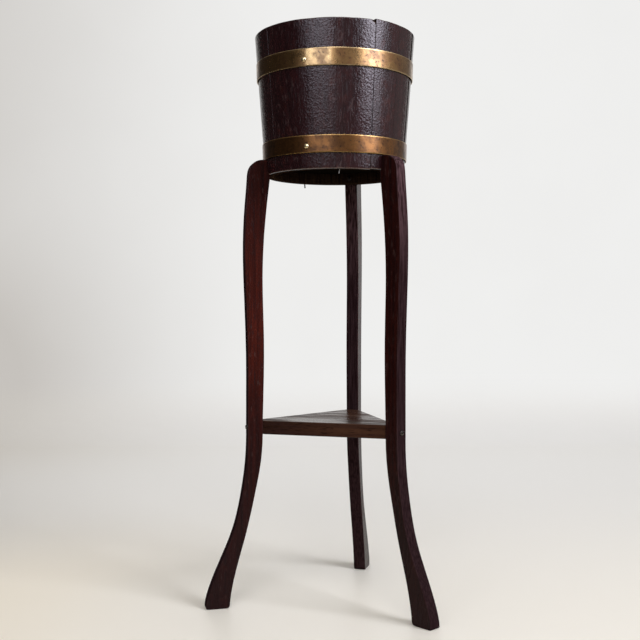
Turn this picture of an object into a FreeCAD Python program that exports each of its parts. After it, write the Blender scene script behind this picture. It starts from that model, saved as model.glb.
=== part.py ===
import FreeCAD, Part
import math
import os
import Sketcher

# A coopered oak tub with two brass hoops, on three sabre legs tied by a three-cornered shelf.
# Millimetres, Z up. The origin is on the floor, under the middle of the tub.

Vector = FreeCAD.Vector
Rotation = FreeCAD.Rotation
Placement = FreeCAD.Placement

doc = FreeCAD.newDocument("BarrelPlanter")
sheet = doc.addObject("Spreadsheet::Sheet", "Sizes")

SIZES = (
    ("overall_height", "920", "floor to the rim of the tub"),
    ("tub_height", "225", "length of the staves"),
    ("base_radius", "113", "outside of the staves at their lower ends"),
    ("rim_flare", "17", "how much wider the radius is at the rim"),
    ("stave_thickness", "14", "wall of the tub"),
    ("stave_lift", "1.5", "how far one stave has crept up"),
    ("joint_bevel", "0.7", "bevel along each stave's outer edges"),
    ("rim_bevel", "1.6", "bevel round the rim and the lower ends"),
    ("chime_depth", "18", "recess under the tub's floor"),
    ("floor_thickness", "14", "boards of the tub's floor"),
    ("croze_depth", "4", "depth of the groove that holds the floor"),
    ("croze_height", "6", "height of that groove"),
    ("croze_fit", "0.3", "play of the floor in its groove"),
    ("board_width", "70", "width of the middle floor board"),
    ("dowel_radius", "3", "dowels between the floor boards"),
    ("dowel_length", "24", "length of those dowels"),
    ("dowel_spacing", "80", "distance between two dowels of a joint"),
    ("hoop_width", "27", "height of the brass strip"),
    ("hoop_thickness", "1.2", "gauge of the brass strip"),
    ("hoop_fit", "0.1", "play at the hoop's tight upper edge"),
    ("hoop_standoff", "1.4", "how far the hoop's lower edge stands off the wood"),
    ("lower_hoop_rise", "24", "lower hoop above the staves' lower ends"),
    ("upper_hoop_drop", "44.5", "upper hoop's top edge below the rim"),
    ("nail_head_radius", "3.9", "domed nails on the hoops"),
    ("nail_head_height", "2.5", "height of the nail's dome"),
    ("nail_radius", "1.2", "shank of the nail"),
    ("nail_length", "12", "shank and point of the nail"),
    ("rivet_head_radius", "3", "rivets in the hoop's lap"),
    ("rivet_head_height", "1.4", "height of the rivet's dome"),
    ("rivet_radius", "1.5", "shank of the rivet"),
    ("leg_thickness", "21", "plank that the legs are sawn from"),
    ("leg_rise", "23.5", "leg's top above the staves' lower ends"),
    ("ledge_depth", "4", "ledge of the leg under the staves"),
    ("crown_depth", "30.5", "leg's outer edge beyond the tub, at its top"),
    ("crown_round", "20", "rounding of the leg's top corner"),
    ("belly_bulge", "6.3", "bulge of the leg below the tub"),
    ("waist_gap", "8.8", "leg's inner edge beyond the tub's base, at the shelf"),
    ("waist_depth", "24.4", "width of the leg at the shelf"),
    ("foot_spread", "101.5", "toe beyond the tub's base"),
    ("foot_depth", "38.5", "width of the foot on the floor"),
    ("edge_round", "1.2", "rounding of the legs' and the shelf's edges"),
    ("shelf_height", "300", "floor to the top of the shelf"),
    ("shelf_thickness", "22", "plank of the shelf"),
    ("screw_radius", "2.2", "shank of the wood screws"),
    ("screw_head_radius", "4.4", "round head of the screws"),
    ("screw_head_height", "3", "height of that head"),
    ("slot_width", "1.2", "slot across the screw's head"),
    ("slot_depth", "1.3", "depth of that slot"),
    ("shelf_screw_length", "50", "screw through a leg into the shelf"),
    ("leg_screw_length", "30", "screw through a stave into a leg"),
    ("leg_screw_rise", "10", "that screw above the staves' lower ends"),
    ("spot_depth", "0.8", "flat cut in the stave under that screw's head"),
    ("brad_radius", "0.8", "thin brads in the staves' lower ends"),
    ("brad_length", "17", "length of a brad"),
    ("brad_drop", "7", "how far a brad stands out"),
    ("bore_fit", "0.1", "play of a shank in its hole"),
    ("cut_overrun", "5", "how far a cutting tool runs past a face"),
)

for row, (alias, number, meaning) in enumerate(SIZES, start=1):
    sheet.set("A%d" % row, meaning)
    sheet.set("B%d" % row, number)
    sheet.setAlias("B%d" % row, alias)
doc.recompute()

# Angles, in degrees about the tub's axis. The back leg points along +Y.
FULL_TURN_ANGLE = 360.0
HALF_TURN_ANGLE = 180.0
BACK_LEG_ANGLE = 90.0
LEFT_LEG_ANGLE = 210.0
RIGHT_LEG_ANGLE = 330.0
FIRST_JOINT_ANGLE = -101.0
STAVE_ANGLES = (27.1, 28.1, 21.8, 21.5, 28.0, 29.0, 27.0, 32.0, 28.0, 30.0, 28.5, 30.5, 28.5)
LIFTED_STAVE = "stave_03"
NAIL_ANGLE = -96.6
LAP_ANGLE = 60.0
LAP_TURN_ANGLE = 16.0
LAP_ROOT_ANGLE = 4.0
LAP_GAP_ANGLE = 0.3
BACK_BRAD_ANGLE = 134.0
FRONT_BRAD_ANGLE = -70.5
FRONT_BRAD_LEAN_ANGLE = 14.0
LEGS = (("back", BACK_LEG_ANGLE), ("left", LEFT_LEG_ANGLE), ("right", RIGHT_LEG_ANGLE))
BRADS = (("back", BACK_BRAD_ANGLE, 0.0), ("front", FRONT_BRAD_ANGLE, FRONT_BRAD_LEAN_ANGLE))

# Where things sit, as shares of the piece that carries them.
NAIL_HEIGHT_SHARE = 0.38
RIVET_HEIGHT_SHARE = 0.5
RIVET_TURN_SHARES = (0.3, 0.7)
TIP_SHARE = 0.25

# The leg's outline. Below the shelf: height as a share of the way up to the shelf, reach as a
# share of the way out from the waist to the foot. Above it: height as a share of the way from
# the shelf to the tub, reach as a share of the belly (outside) or of the waist (inside).
TOE_SHARES = ((0.05, 1.0), (0.216, 0.75), (0.432, 0.31), (0.665, 0.115), (0.863, 0.0))
HEEL_SHARES = ((0.05, 1.0), (0.216, 0.835), (0.432, 0.48), (0.68, 0.21), (0.863, 0.012))
BELLY_SHARES = ((0.1, 0.0), (0.3, -0.14), (0.56, 0.68), (0.81, 0.97))
THIGH_SHARES = ((0.08, 0.94), (0.3, 0.69), (0.56, 1.12), (0.785, 0.79), (0.91, 0.336))
CROWN_SHARE = 0.987


class Length:
    """A length together with the formula that binds it to the sheet."""

    def __init__(self, number, formula):
        self.number = number
        self.formula = formula

    def __add__(self, other):
        return Length(self.number + other.number, "(%s + %s)" % (self.formula, other.formula))

    def __sub__(self, other):
        return Length(self.number - other.number, "(%s - %s)" % (self.formula, other.formula))

    def __mul__(self, share):
        return Length(self.number * share, "(%s * (%.9f))" % (self.formula, share))

    def __neg__(self):
        return Length(-self.number, "(0 - %s)" % self.formula)

    def scaled(self, part, whole):
        """This length times the ratio of two others."""
        ratio = part.number / whole.number
        return Length(self.number * ratio, "(%s * %s / %s)" % (self.formula, part.formula, whole.formula))


def size(alias):
    return Length(float(sheet.get(alias)), "Sizes." + alias)


ZERO = Length(0.0, "0")

overall_height = size("overall_height")
tub_height = size("tub_height")
base_radius = size("base_radius")
stave_thickness = size("stave_thickness")
rim_bevel = size("rim_bevel")
chime_depth = size("chime_depth")
floor_thickness = size("floor_thickness")
croze_depth = size("croze_depth")
croze_height = size("croze_height")
croze_fit = size("croze_fit")
board_width = size("board_width")
dowel_radius = size("dowel_radius")
dowel_length = size("dowel_length")
dowel_spacing = size("dowel_spacing")
hoop_width = size("hoop_width")
hoop_thickness = size("hoop_thickness")
hoop_fit = size("hoop_fit")
nail_length = size("nail_length")
leg_thickness = size("leg_thickness")
edge_round = size("edge_round")
shelf_height = size("shelf_height")
shelf_thickness = size("shelf_thickness")
screw_radius = size("screw_radius")
screw_head_radius = size("screw_head_radius")
screw_head_height = size("screw_head_height")
slot_width = size("slot_width")
slot_depth = size("slot_depth")
spot_depth = size("spot_depth")
brad_radius = size("brad_radius")
bore_fit = size("bore_fit")
cut_overrun = size("cut_overrun")

seat_height = overall_height - tub_height
leg_top = seat_height + size("leg_rise")
shelf_under = shelf_height - shelf_thickness
ledge_radius = base_radius - size("ledge_depth")
crown_radius = base_radius + size("crown_depth")
waist_inner = base_radius + size("waist_gap")
waist_outer = waist_inner + size("waist_depth")
toe_radius = base_radius + size("foot_spread")
heel_radius = toe_radius - size("foot_depth")


def wall_radius(height):
    """Outside of the tub at a height above the staves' lower ends."""
    return base_radius + size("rim_flare").scaled(height, tub_height)


def turned(angle):
    return Placement(Vector(), Rotation(Vector(0, 0, 1), angle))


def bind(item, name, length):
    item.setExpression(name, length.formula)


def sketch_on(body, name, role, angle=0.0):
    """A sketch on one of the body's own planes, swung about the upright axis by an angle."""
    sketch = body.newObject("Sketcher::SketchObject", name)
    plane = [item for item in body.Origin.OriginFeatures if item.Role == role][0]
    sketch.AttachmentSupport = [(plane, "")]
    sketch.MapMode = "FlatFace"
    sketch.AttachmentOffset = Placement(Vector(), Rotation(Vector(0, 1, 0), angle))
    return sketch


def hold(sketch, geometry, vertex, point):
    """Hold a vertex at its bound place, measured from the sketch's origin."""
    for kind, axis, length in (("DistanceX", -2, point[0]), ("DistanceY", -1, point[1])):
        if length.number == 0:
            sketch.addConstraint(Sketcher.Constraint("PointOnObject", geometry, vertex, axis))
            continue
        if length.number > 0:
            place = Sketcher.Constraint(kind, -1, 1, geometry, vertex, length.number)
        else:
            length = -length
            place = Sketcher.Constraint(kind, geometry, vertex, -1, 1, length.number)
        index = sketch.addConstraint(place)
        sketch.setExpression("Constraints[%d]" % index, length.formula)


def flat(point):
    return Vector(point[0].number, point[1].number, 0)


def draw(sketch, runs):
    """A closed outline. Each run is a straight line (two points) or a smooth curve's poles."""
    drawn = []
    for run in runs:
        if len(run) == 2:
            drawn.append(sketch.addGeometry(Part.LineSegment(flat(run[0]), flat(run[1])), False))
            continue
        curve = Part.BSplineCurve()
        curve.buildFromPoles([flat(point) for point in run], False, 3)
        index = sketch.addGeometry(curve, False)
        first_pole = sketch.GeometryCount
        sketch.exposeInternalGeometry(index)
        for step in range(1, len(run) - 1):
            hold(sketch, first_pole + step, 3, run[step])
        drawn.append(index)
    for index, following in zip(drawn, drawn[1:] + drawn[:1]):
        sketch.addConstraint(Sketcher.Constraint("Coincident", index, 2, following, 1))
    for index, run in zip(drawn, runs):
        hold(sketch, index, 1, run[0])


def polygon(sketch, corners):
    draw(sketch, list(zip(corners, corners[1:] + corners[:1])))


def revolve(body, name, corners, angle, swing=0.0):
    """Turn a section about the tub's axis, half the angle to each side of its plane."""
    section = sketch_on(body, name + "_section", "XZ_Plane", swing)
    polygon(section, corners)
    ring = body.newObject("PartDesign::Revolution", name)
    ring.Profile = section
    ring.ReferenceAxis = (section, ["V_Axis"])
    ring.Angle = angle
    ring.Midplane = True
    doc.recompute()
    return ring


def rod(name, radius, length, start=ZERO):
    """A cylinder along its own Z, from a start."""
    item = doc.addObject("Part::Cylinder", name)
    bind(item, "Radius", radius)
    bind(item, "Height", length)
    bind(item, "Placement.Base.z", start)
    return item


def dome(name, radius, height):
    """The upper half of a flattened ball, a rounded head."""
    item = doc.addObject("Part::Ellipsoid", name)
    bind(item, "Radius1", height)
    bind(item, "Radius2", radius)
    item.Angle1 = 0
    item.Angle2 = 90
    return item


def point_of(name, radius, length, end):
    """A cone that tapers downward from an end."""
    item = doc.addObject("Part::Cone", name)
    item.Radius1 = 0
    bind(item, "Radius2", radius)
    bind(item, "Height", length)
    bind(item, "Placement.Base.z", -end - length)
    return item


def fuse(name, pieces):
    item = doc.addObject("Part::MultiFuse", name)
    item.Shapes = pieces
    item.Refine = True
    return item


def cut(label, base, tools):
    """The base with every tool taken out of it. Its label is the node's name."""
    tool = tools[0]
    if len(tools) > 1:
        tool = doc.addObject("Part::Compound", label + "_tools")
        tool.Links = tools
    item = doc.addObject("Part::Cut", label)
    item.Base = base
    item.Tool = tool
    item.Label = label
    return item


def aim(item, angle, radius, height, outward=True):
    """Lay an item's own +Z along a radius of the tub, its origin at that radius and height."""
    tilt = 90.0 if outward else -90.0
    swing = Rotation(Vector(0, 0, 1), angle)
    item.Placement = Placement(Vector(), swing * Rotation(Vector(0, 1, 0), tilt))
    bind(item, "Placement.Base.x", radius * math.cos(math.radians(angle)))
    bind(item, "Placement.Base.y", radius * math.sin(math.radians(angle)))
    bind(item, "Placement.Base.z", height)
    return item


nodes = []
stave_tools = []


# Domed nails and rivets of the hoops. Each has a tool that drills its hole.
def nail(name):
    shank_length = nail_length * (1 - TIP_SHARE)
    shank = rod(name + "_shank", size("nail_radius"), shank_length, -shank_length)
    tip = point_of(name + "_tip", size("nail_radius"), nail_length * TIP_SHARE, shank_length)
    head = dome(name + "_head", size("nail_head_radius"), size("nail_head_height"))
    return fuse(name, [head, shank, tip])


def rivet(name, grip):
    shank = rod(name + "_shank", size("rivet_radius"), grip, -grip)
    head = dome(name + "_head", size("rivet_head_radius"), size("rivet_head_height"))
    return fuse(name, [head, shank])


def bore(name, radius, depth, angle, seat, height, outward=True):
    """A drill along a radius of the tub, from just outside a head's seat down to a depth."""
    drill = rod(name, radius + bore_fit, depth + cut_overrun)
    bottom = seat - depth if outward else seat + depth
    return aim(drill, angle, bottom, height, outward)


# The hoops. The strip's upper edge grips the wood and its lower edge stands off a little.
# Its two ends lap at the back, the outer one stepped over the inner one.
nails = []
rivets = []
for place, low_edge in (
    ("upper", tub_height - size("upper_hoop_drop") - hoop_width),
    ("lower", size("lower_hoop_rise")),
):
    name = "hoop_" + place
    high_edge = low_edge + hoop_width
    low_radius = wall_radius(low_edge) + size("hoop_standoff")
    high_radius = wall_radius(high_edge) + hoop_fit
    low_z = seat_height + low_edge
    high_z = seat_height + high_edge

    def band(inset, gauge):
        return [
            (low_radius + inset, low_z),
            (low_radius + inset + gauge, low_z),
            (high_radius + inset + gauge, high_z),
            (high_radius + inset, high_z),
        ]

    strip = doc.addObject("PartDesign::Body", name + "_strip")
    lap_inset = hoop_thickness + bore_fit
    lap_gauge = hoop_thickness
    revolve(strip, name + "_ring", band(ZERO, hoop_thickness), FULL_TURN_ANGLE - LAP_GAP_ANGLE)
    root_swing = HALF_TURN_ANGLE - (LAP_GAP_ANGLE + LAP_ROOT_ANGLE) / 2
    revolve(strip, name + "_step", band(ZERO, lap_inset + lap_gauge), LAP_ROOT_ANGLE, root_swing)
    lap_swing = HALF_TURN_ANGLE + (LAP_TURN_ANGLE - LAP_ROOT_ANGLE) / 2
    lap_turn = LAP_TURN_ANGLE + LAP_ROOT_ANGLE + LAP_GAP_ANGLE
    revolve(strip, name + "_lap", band(lap_inset, lap_gauge), lap_turn, lap_swing)
    strip.Placement = turned(LAP_ANGLE - HALF_TURN_ANGLE)

    tools = []
    slope = high_radius - low_radius
    nail_z = low_z + hoop_width * NAIL_HEIGHT_SHARE
    nail_seat = low_radius + slope * NAIL_HEIGHT_SHARE + hoop_thickness + bore_fit
    nails.append(aim(nail("nail_" + place), NAIL_ANGLE, nail_seat, nail_z))
    nail_bore = nail_length + bore_fit
    drill = bore("nail_drill_" + place, size("nail_radius"), nail_bore, NAIL_ANGLE, nail_seat, nail_z)
    tools.append(drill)
    stave_tools.append((NAIL_ANGLE, drill))
    for count, share in enumerate(RIVET_TURN_SHARES, start=1):
        rivet_angle = LAP_ANGLE + LAP_TURN_ANGLE * share
        rivet_z = low_z + hoop_width * RIVET_HEIGHT_SHARE
        grip = lap_inset + lap_gauge + bore_fit
        rivet_seat = low_radius + slope * RIVET_HEIGHT_SHARE + grip
        stud = rivet("rivet_%s_%d" % (place, count), grip)
        rivets.append(aim(stud, rivet_angle, rivet_seat, rivet_z))
        drill_name = "rivet_drill_%s_%d" % (place, count)
        rivet_bore = grip + hoop_thickness
        tools.append(bore(drill_name, size("rivet_radius"), rivet_bore, rivet_angle, rivet_seat, rivet_z))
    nodes.append(cut(name, strip, tools))

hoop_nails = doc.addObject("Part::Compound", "hoop_nails")
hoop_nails.Links = nails
nodes.append(hoop_nails)

hoop_rivets = doc.addObject("Part::Compound", "hoop_rivets")
hoop_rivets.Links = rivets
nodes.append(hoop_rivets)


# Round-headed wood screws with a slot.
def screw(name, length):
    shank_length = length * (1 - TIP_SHARE)
    shank = rod(name + "_shank", screw_radius, shank_length, -shank_length)
    tip = point_of(name + "_tip", screw_radius, length * TIP_SHARE, shank_length)
    head = dome(name + "_head", screw_head_radius, screw_head_height)
    whole = fuse(name + "_whole", [head, shank, tip])
    slot = doc.addObject("Part::Box", name + "_slot")
    bind(slot, "Length", slot_width)
    bind(slot, "Width", screw_head_radius * 2)
    bind(slot, "Height", slot_depth)
    bind(slot, "Placement.Base.x", slot_width * -0.5)
    bind(slot, "Placement.Base.y", -screw_head_radius)
    bind(slot, "Placement.Base.z", screw_head_height - slot_depth)
    return cut(name, whole, [slot])


# A screw through each leg into the shelf, and one through a stave into the leg's top, its head
# on a flat cut inside the recess under the tub's floor.
shelf_screw_length = size("shelf_screw_length")
leg_screw_length = size("leg_screw_length")
leg_screw_rise = size("leg_screw_rise")
shelf_screw_z = shelf_height - shelf_thickness * 0.5
leg_screw_z = seat_height + leg_screw_rise
leg_screw_seat = wall_radius(leg_screw_rise) - stave_thickness + spot_depth

shelf_screws = []
leg_screws = []
shelf_drills = []
leg_drills = {}
for place, angle in LEGS:
    item = screw("shelf_screw_" + place, shelf_screw_length)
    shelf_screws.append(aim(item, angle, waist_outer, shelf_screw_z))
    shelf_bore = shelf_screw_length + bore_fit
    drill = bore("shelf_drill_" + place, screw_radius, shelf_bore, angle, waist_outer, shelf_screw_z)
    shelf_drills.append(drill)
    item = screw("leg_screw_" + place, leg_screw_length)
    leg_screws.append(aim(item, angle, leg_screw_seat, leg_screw_z, outward=False))
    leg_bore = leg_screw_length + bore_fit
    inner_drill = bore(
        "leg_drill_" + place, screw_radius, leg_bore, angle, leg_screw_seat, leg_screw_z, outward=False
    )
    spot = rod("leg_spot_" + place, screw_head_radius + bore_fit, cut_overrun)
    aim(spot, angle, leg_screw_seat, leg_screw_z, outward=False)
    stave_tools.append((angle, inner_drill))
    stave_tools.append((angle, spot))
    leg_drills[place] = [drill, inner_drill]

for label, items in (("shelf_screws", shelf_screws), ("leg_screws", leg_screws)):
    group = doc.addObject("Part::Compound", label)
    group.Links = items
    nodes.append(group)


# Two thin brads in the staves' lower ends, one of them bent aside.
brads = []
brad_length = size("brad_length")
brad_drop = size("brad_drop")
brad_radius_place = base_radius - stave_thickness * 0.5
for place, angle, lean in BRADS:
    for kind, radius in (("brad", brad_radius), ("brad_drill", brad_radius + bore_fit)):
        wire = rod("%s_%s" % (kind, place), radius, brad_length)
        swing = Rotation(Vector(0, 0, 1), angle)
        wire.Placement = Placement(Vector(), swing * Rotation(Vector(1, 0, 0), -lean))
        across = brad_radius_place
        aside = brad_drop * math.sin(math.radians(lean))
        cosine = math.cos(math.radians(angle))
        sine = math.sin(math.radians(angle))
        bind(wire, "Placement.Base.x", across * cosine + aside * sine)
        bind(wire, "Placement.Base.y", across * sine - aside * cosine)
        bind(wire, "Placement.Base.z", seat_height - brad_drop * math.cos(math.radians(lean)))
        if kind == "brad":
            brads.append(wire)
        else:
            stave_tools.append((angle, wire))

rim_brads = doc.addObject("Part::Compound", "rim_brads")
rim_brads.Links = brads
nodes.append(rim_brads)


# The staves. Each is a slice of the tapered wall with the croze cut on its inside.
def stave_section(lift):
    bottom = seat_height + lift
    top = overall_height + lift
    groove_low = chime_depth + (floor_thickness - croze_height) * 0.5
    groove_high = groove_low + croze_height
    groove_radius = wall_radius((groove_low + groove_high) * 0.5) - stave_thickness + croze_depth
    rim_radius = wall_radius(tub_height)
    low_bevel = wall_radius(rim_bevel)
    high_bevel = wall_radius(tub_height - rim_bevel)
    return [
        (base_radius - stave_thickness, bottom),
        (base_radius - rim_bevel, bottom),
        (low_bevel, bottom + rim_bevel),
        (high_bevel, top - rim_bevel),
        (rim_radius - rim_bevel, top),
        (rim_radius - stave_thickness + rim_bevel, top),
        (high_bevel - stave_thickness, top - rim_bevel),
        (wall_radius(groove_high - lift) - stave_thickness, seat_height + groove_high),
        (groove_radius, seat_height + groove_high),
        (groove_radius, seat_height + groove_low),
        (wall_radius(groove_low - lift) - stave_thickness, seat_height + groove_low),
    ]


start = FIRST_JOINT_ANGLE
for number, turn in enumerate(STAVE_ANGLES, start=1):
    name = "stave_%02d" % number
    lift = size("stave_lift") if name == LIFTED_STAVE else ZERO
    blank = doc.addObject("PartDesign::Body", name + "_blank")
    wall = revolve(blank, name + "_wall", stave_section(lift), turn)
    outer_edges = []
    for index, edge in enumerate(wall.Shape.Edges, start=1):
        middle = edge.valueAt((edge.FirstParameter + edge.LastParameter) / 2)
        outside = base_radius.number - stave_thickness.number / 2
        upright = edge.BoundBox.ZLength > tub_height.number / 2
        if upright and math.hypot(middle.x, middle.y) > outside:
            outer_edges.append("Edge%d" % index)
    bevel = blank.newObject("PartDesign::Chamfer", name + "_bevel")
    bevel.Base = (wall, outer_edges)
    bind(bevel, "Size", size("joint_bevel"))
    blank.Placement = turned(start + turn / 2)
    tools = []
    for angle, tool in stave_tools:
        if (angle - start) % FULL_TURN_ANGLE < turn:
            tools.append(tool)
    if tools:
        nodes.append(cut(name, blank, tools))
    else:
        blank.Label = name
        nodes.append(blank)
    start = start + turn


# The tub's floor. Three boards sawn from one rebated disc, dowelled edge to edge.
floor_z = seat_height + chime_depth
tongue_low = (floor_thickness - croze_height) * 0.5 + croze_fit
tongue_height = croze_height - croze_fit * 2
groove_middle = chime_depth + floor_thickness * 0.5
disc_radius = wall_radius(chime_depth) - stave_thickness - croze_fit
tongue_radius = wall_radius(groove_middle) - stave_thickness + croze_depth - croze_fit

dowels = []
dowel_drills = {"front": [], "back": []}
for side, sign in (("front", -1), ("back", 1)):
    for count, across in ((1, -0.5), (2, 0.5)):
        for kind, radius, length in (
            ("dowel", dowel_radius, dowel_length),
            ("dowel_drill", dowel_radius + bore_fit, dowel_length + bore_fit * 2),
        ):
            peg = rod("%s_%s_%d" % (kind, side, count), radius, length)
            peg.Placement = Placement(Vector(), Rotation(Vector(1, 0, 0), -90))
            bind(peg, "Placement.Base.x", dowel_spacing * across)
            bind(peg, "Placement.Base.y", board_width * (0.5 * sign) - length * 0.5)
            bind(peg, "Placement.Base.z", floor_z + floor_thickness * 0.5)
            if kind == "dowel":
                dowels.append(peg)
            else:
                dowel_drills[side].append(peg)

board_reach = tongue_radius + cut_overrun
for place, near, far, drills in (
    ("front", -board_reach, board_width * -0.5, dowel_drills["front"]),
    ("middle", board_width * -0.5, board_width * 0.5, dowel_drills["front"] + dowel_drills["back"]),
    ("back", board_width * 0.5, board_reach, dowel_drills["back"]),
):
    name = "floor_board_" + place
    disc = rod(name + "_disc", disc_radius, floor_thickness, floor_z)
    tongue = rod(name + "_tongue", tongue_radius, tongue_height, floor_z + tongue_low)
    plank = doc.addObject("Part::Box", name + "_plank")
    bind(plank, "Length", board_reach * 2)
    bind(plank, "Width", far - near)
    bind(plank, "Height", floor_thickness)
    bind(plank, "Placement.Base.x", -board_reach)
    bind(plank, "Placement.Base.y", near)
    bind(plank, "Placement.Base.z", floor_z)
    sawn = doc.addObject("Part::Common", name + "_sawn")
    sawn.Base = fuse(name + "_round", [disc, tongue])
    sawn.Tool = plank
    nodes.append(cut(name, sawn, drills))

floor_dowels = doc.addObject("Part::Compound", "floor_dowels")
floor_dowels.Links = dowels
nodes.append(floor_dowels)


# The legs. Each is sawn from plank, its edges eased, then notched to the tub's wall so that the
# staves stand on its ledge.
def below(shares, reach, waist):
    spread = reach - waist
    return [(waist + spread * out, shelf_under * up) for up, out in shares]


upper_span = seat_height - shelf_height
belly = size("belly_bulge")
thigh = waist_inner - ledge_radius

leg_runs = [
    [(heel_radius, ZERO), (toe_radius, ZERO)],
    [(toe_radius, ZERO)] + below(TOE_SHARES, toe_radius, waist_outer) + [(waist_outer, shelf_under)],
    [(waist_outer, shelf_under), (waist_outer, shelf_height)],
    [(waist_outer, shelf_height)]
    + [(waist_outer + belly * out, shelf_height + upper_span * up) for up, out in BELLY_SHARES]
    + [(crown_radius, shelf_height + upper_span * CROWN_SHARE), (crown_radius, leg_top)],
    [(crown_radius, leg_top), (ledge_radius, leg_top)],
    [(ledge_radius, leg_top), (ledge_radius, seat_height)],
    [(ledge_radius, seat_height)]
    + [(ledge_radius + thigh * out, shelf_height + upper_span * up) for up, out in reversed(THIGH_SHARES)]
    + [(waist_inner, shelf_height)],
    [(waist_inner, shelf_height), (waist_inner, shelf_under)],
    [(waist_inner, shelf_under)]
    + list(reversed(below(HEEL_SHARES, heel_radius, waist_inner)))
    + [(heel_radius, ZERO)],
]

for place, angle in LEGS:
    name = "leg_" + place
    blank = doc.addObject("PartDesign::Body", name + "_blank")
    outline = sketch_on(blank, name + "_outline", "XZ_Plane")
    draw(outline, leg_runs)
    plank = blank.newObject("PartDesign::Pad", name + "_plank")
    plank.Profile = outline
    bind(plank, "Length", leg_thickness)
    plank.Midplane = True
    doc.recompute()

    corner = []
    for index, edge in enumerate(plank.Shape.Edges, start=1):
        centre = edge.CenterOfMass
        across = edge.BoundBox.YLength > leg_thickness.number / 2
        near_top = centre.z > seat_height.number
        outer = centre.x > (ledge_radius.number + crown_radius.number) / 2
        if across and near_top and outer:
            corner.append("Edge%d" % index)
    crown = blank.newObject("PartDesign::Fillet", name + "_crown")
    crown.Base = (plank, corner)
    bind(crown, "Radius", size("crown_round"))
    doc.recompute()

    sides = []
    for index, face in enumerate(crown.Shape.Faces, start=1):
        if face.BoundBox.YLength < leg_thickness.number / 2 and abs(face.normalAt(0, 0).y) > 0.9:
            sides.append("Face%d" % index)
    eased = blank.newObject("PartDesign::Fillet", name + "_eased")
    eased.Base = (crown, sides)
    bind(eased, "Radius", edge_round)
    doc.recompute()

    whole = eased.Shape.Volume
    notch = sketch_on(blank, name + "_notch_section", "XZ_Plane")
    notch_top = size("leg_rise") + cut_overrun
    polygon(
        notch,
        [
            (ZERO, seat_height),
            (base_radius, seat_height),
            (wall_radius(notch_top), seat_height + notch_top),
            (ZERO, seat_height + notch_top),
        ],
    )
    seat = blank.newObject("PartDesign::Groove", name + "_notch")
    seat.Profile = notch
    seat.ReferenceAxis = (notch, ["V_Axis"])
    seat.Angle = FULL_TURN_ANGLE
    doc.recompute()
    if seat.Shape.Volume >= whole:
        raise RuntimeError("the notch of %s cuts nothing" % name)
    blank.Placement = turned(angle)
    nodes.append(cut(name, blank, leg_drills[place]))


# The shelf. A triangle whose cut corners butt against the legs' inner edges.
shelf_blank = doc.addObject("PartDesign::Body", "shelf_blank")
shelf_plan = sketch_on(shelf_blank, "shelf_plan", "XY_Plane")
corners = []
for place, angle in LEGS:
    cosine = math.cos(math.radians(angle))
    sine = math.sin(math.radians(angle))
    for side in (-0.5, 0.5):
        corners.append(
            (
                waist_inner * cosine - leg_thickness * (side * sine),
                waist_inner * sine + leg_thickness * (side * cosine),
            )
        )
polygon(shelf_plan, corners)
bind(shelf_plan, "AttachmentOffset.Base.z", shelf_under)
board = shelf_blank.newObject("PartDesign::Pad", "shelf_board")
board.Profile = shelf_plan
bind(board, "Length", shelf_thickness)
doc.recompute()

level_faces = []
for index, face in enumerate(board.Shape.Faces, start=1):
    if face.BoundBox.ZLength < shelf_thickness.number / 2:
        level_faces.append("Face%d" % index)
shelf_eased = shelf_blank.newObject("PartDesign::Fillet", "shelf_eased")
shelf_eased.Base = (board, level_faces)
bind(shelf_eased, "Radius", edge_round)
nodes.append(cut("shelf", shelf_blank, shelf_drills))

doc.recompute()

for item in doc.Objects:
    if "Invalid" in item.State or "Error" in item.State:
        raise RuntimeError("%s failed: %s" % (item.Name, item.State))
for node in nodes:
    if node.Shape.isNull() or not node.Shape.isValid() or not node.Shape.Solids:
        raise RuntimeError("%s has no sound shape" % node.Label)

os.makedirs("parts", exist_ok=True)
for node in nodes:
    node.Shape.exportStep(os.path.join("parts", node.Label + ".step"))
    print(node.Label, len(node.Shape.Solids), round(node.Shape.Volume, 1))
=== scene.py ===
# %% [markdown]
# # A coopered planter on three legs
#
# The object is an oak tub made by a cooper: thirteen tapered staves held by two brass hoops.
# It stands on three legs sawn from plank, and a small shelf ties the legs together low down.
# The measured model is already made, so this script only dresses it. It loads that model as a
# fixed frame, and everything below is in metres, in the model's own axes.

# %% Load the measured model
import math

import bpy
from mathutils import Matrix, Vector, noise


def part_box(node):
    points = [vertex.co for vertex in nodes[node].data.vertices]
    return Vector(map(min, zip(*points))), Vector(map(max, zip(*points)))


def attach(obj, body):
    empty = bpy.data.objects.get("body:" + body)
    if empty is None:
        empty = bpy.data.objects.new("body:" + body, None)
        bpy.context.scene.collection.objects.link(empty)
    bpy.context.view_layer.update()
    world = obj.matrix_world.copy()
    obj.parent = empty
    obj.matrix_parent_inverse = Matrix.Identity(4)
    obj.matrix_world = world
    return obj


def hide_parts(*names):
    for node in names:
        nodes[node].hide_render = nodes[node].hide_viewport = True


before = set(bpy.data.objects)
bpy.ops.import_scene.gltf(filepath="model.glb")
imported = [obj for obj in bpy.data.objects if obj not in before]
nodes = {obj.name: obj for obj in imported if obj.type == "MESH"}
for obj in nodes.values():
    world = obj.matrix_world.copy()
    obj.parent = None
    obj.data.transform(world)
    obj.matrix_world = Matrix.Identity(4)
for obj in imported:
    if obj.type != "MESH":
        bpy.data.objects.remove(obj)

scene = bpy.context.scene
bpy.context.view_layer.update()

# %% [markdown]
# ## Camera
#
# The photograph was taken from about half a metre up, a little to the right of the front and
# tilted down by a degree. A rim, two hoops, a shelf and three feet of known size fix both the
# place and the lens, so the camera's numbers come from that fit. Depth of field stays off.

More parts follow.
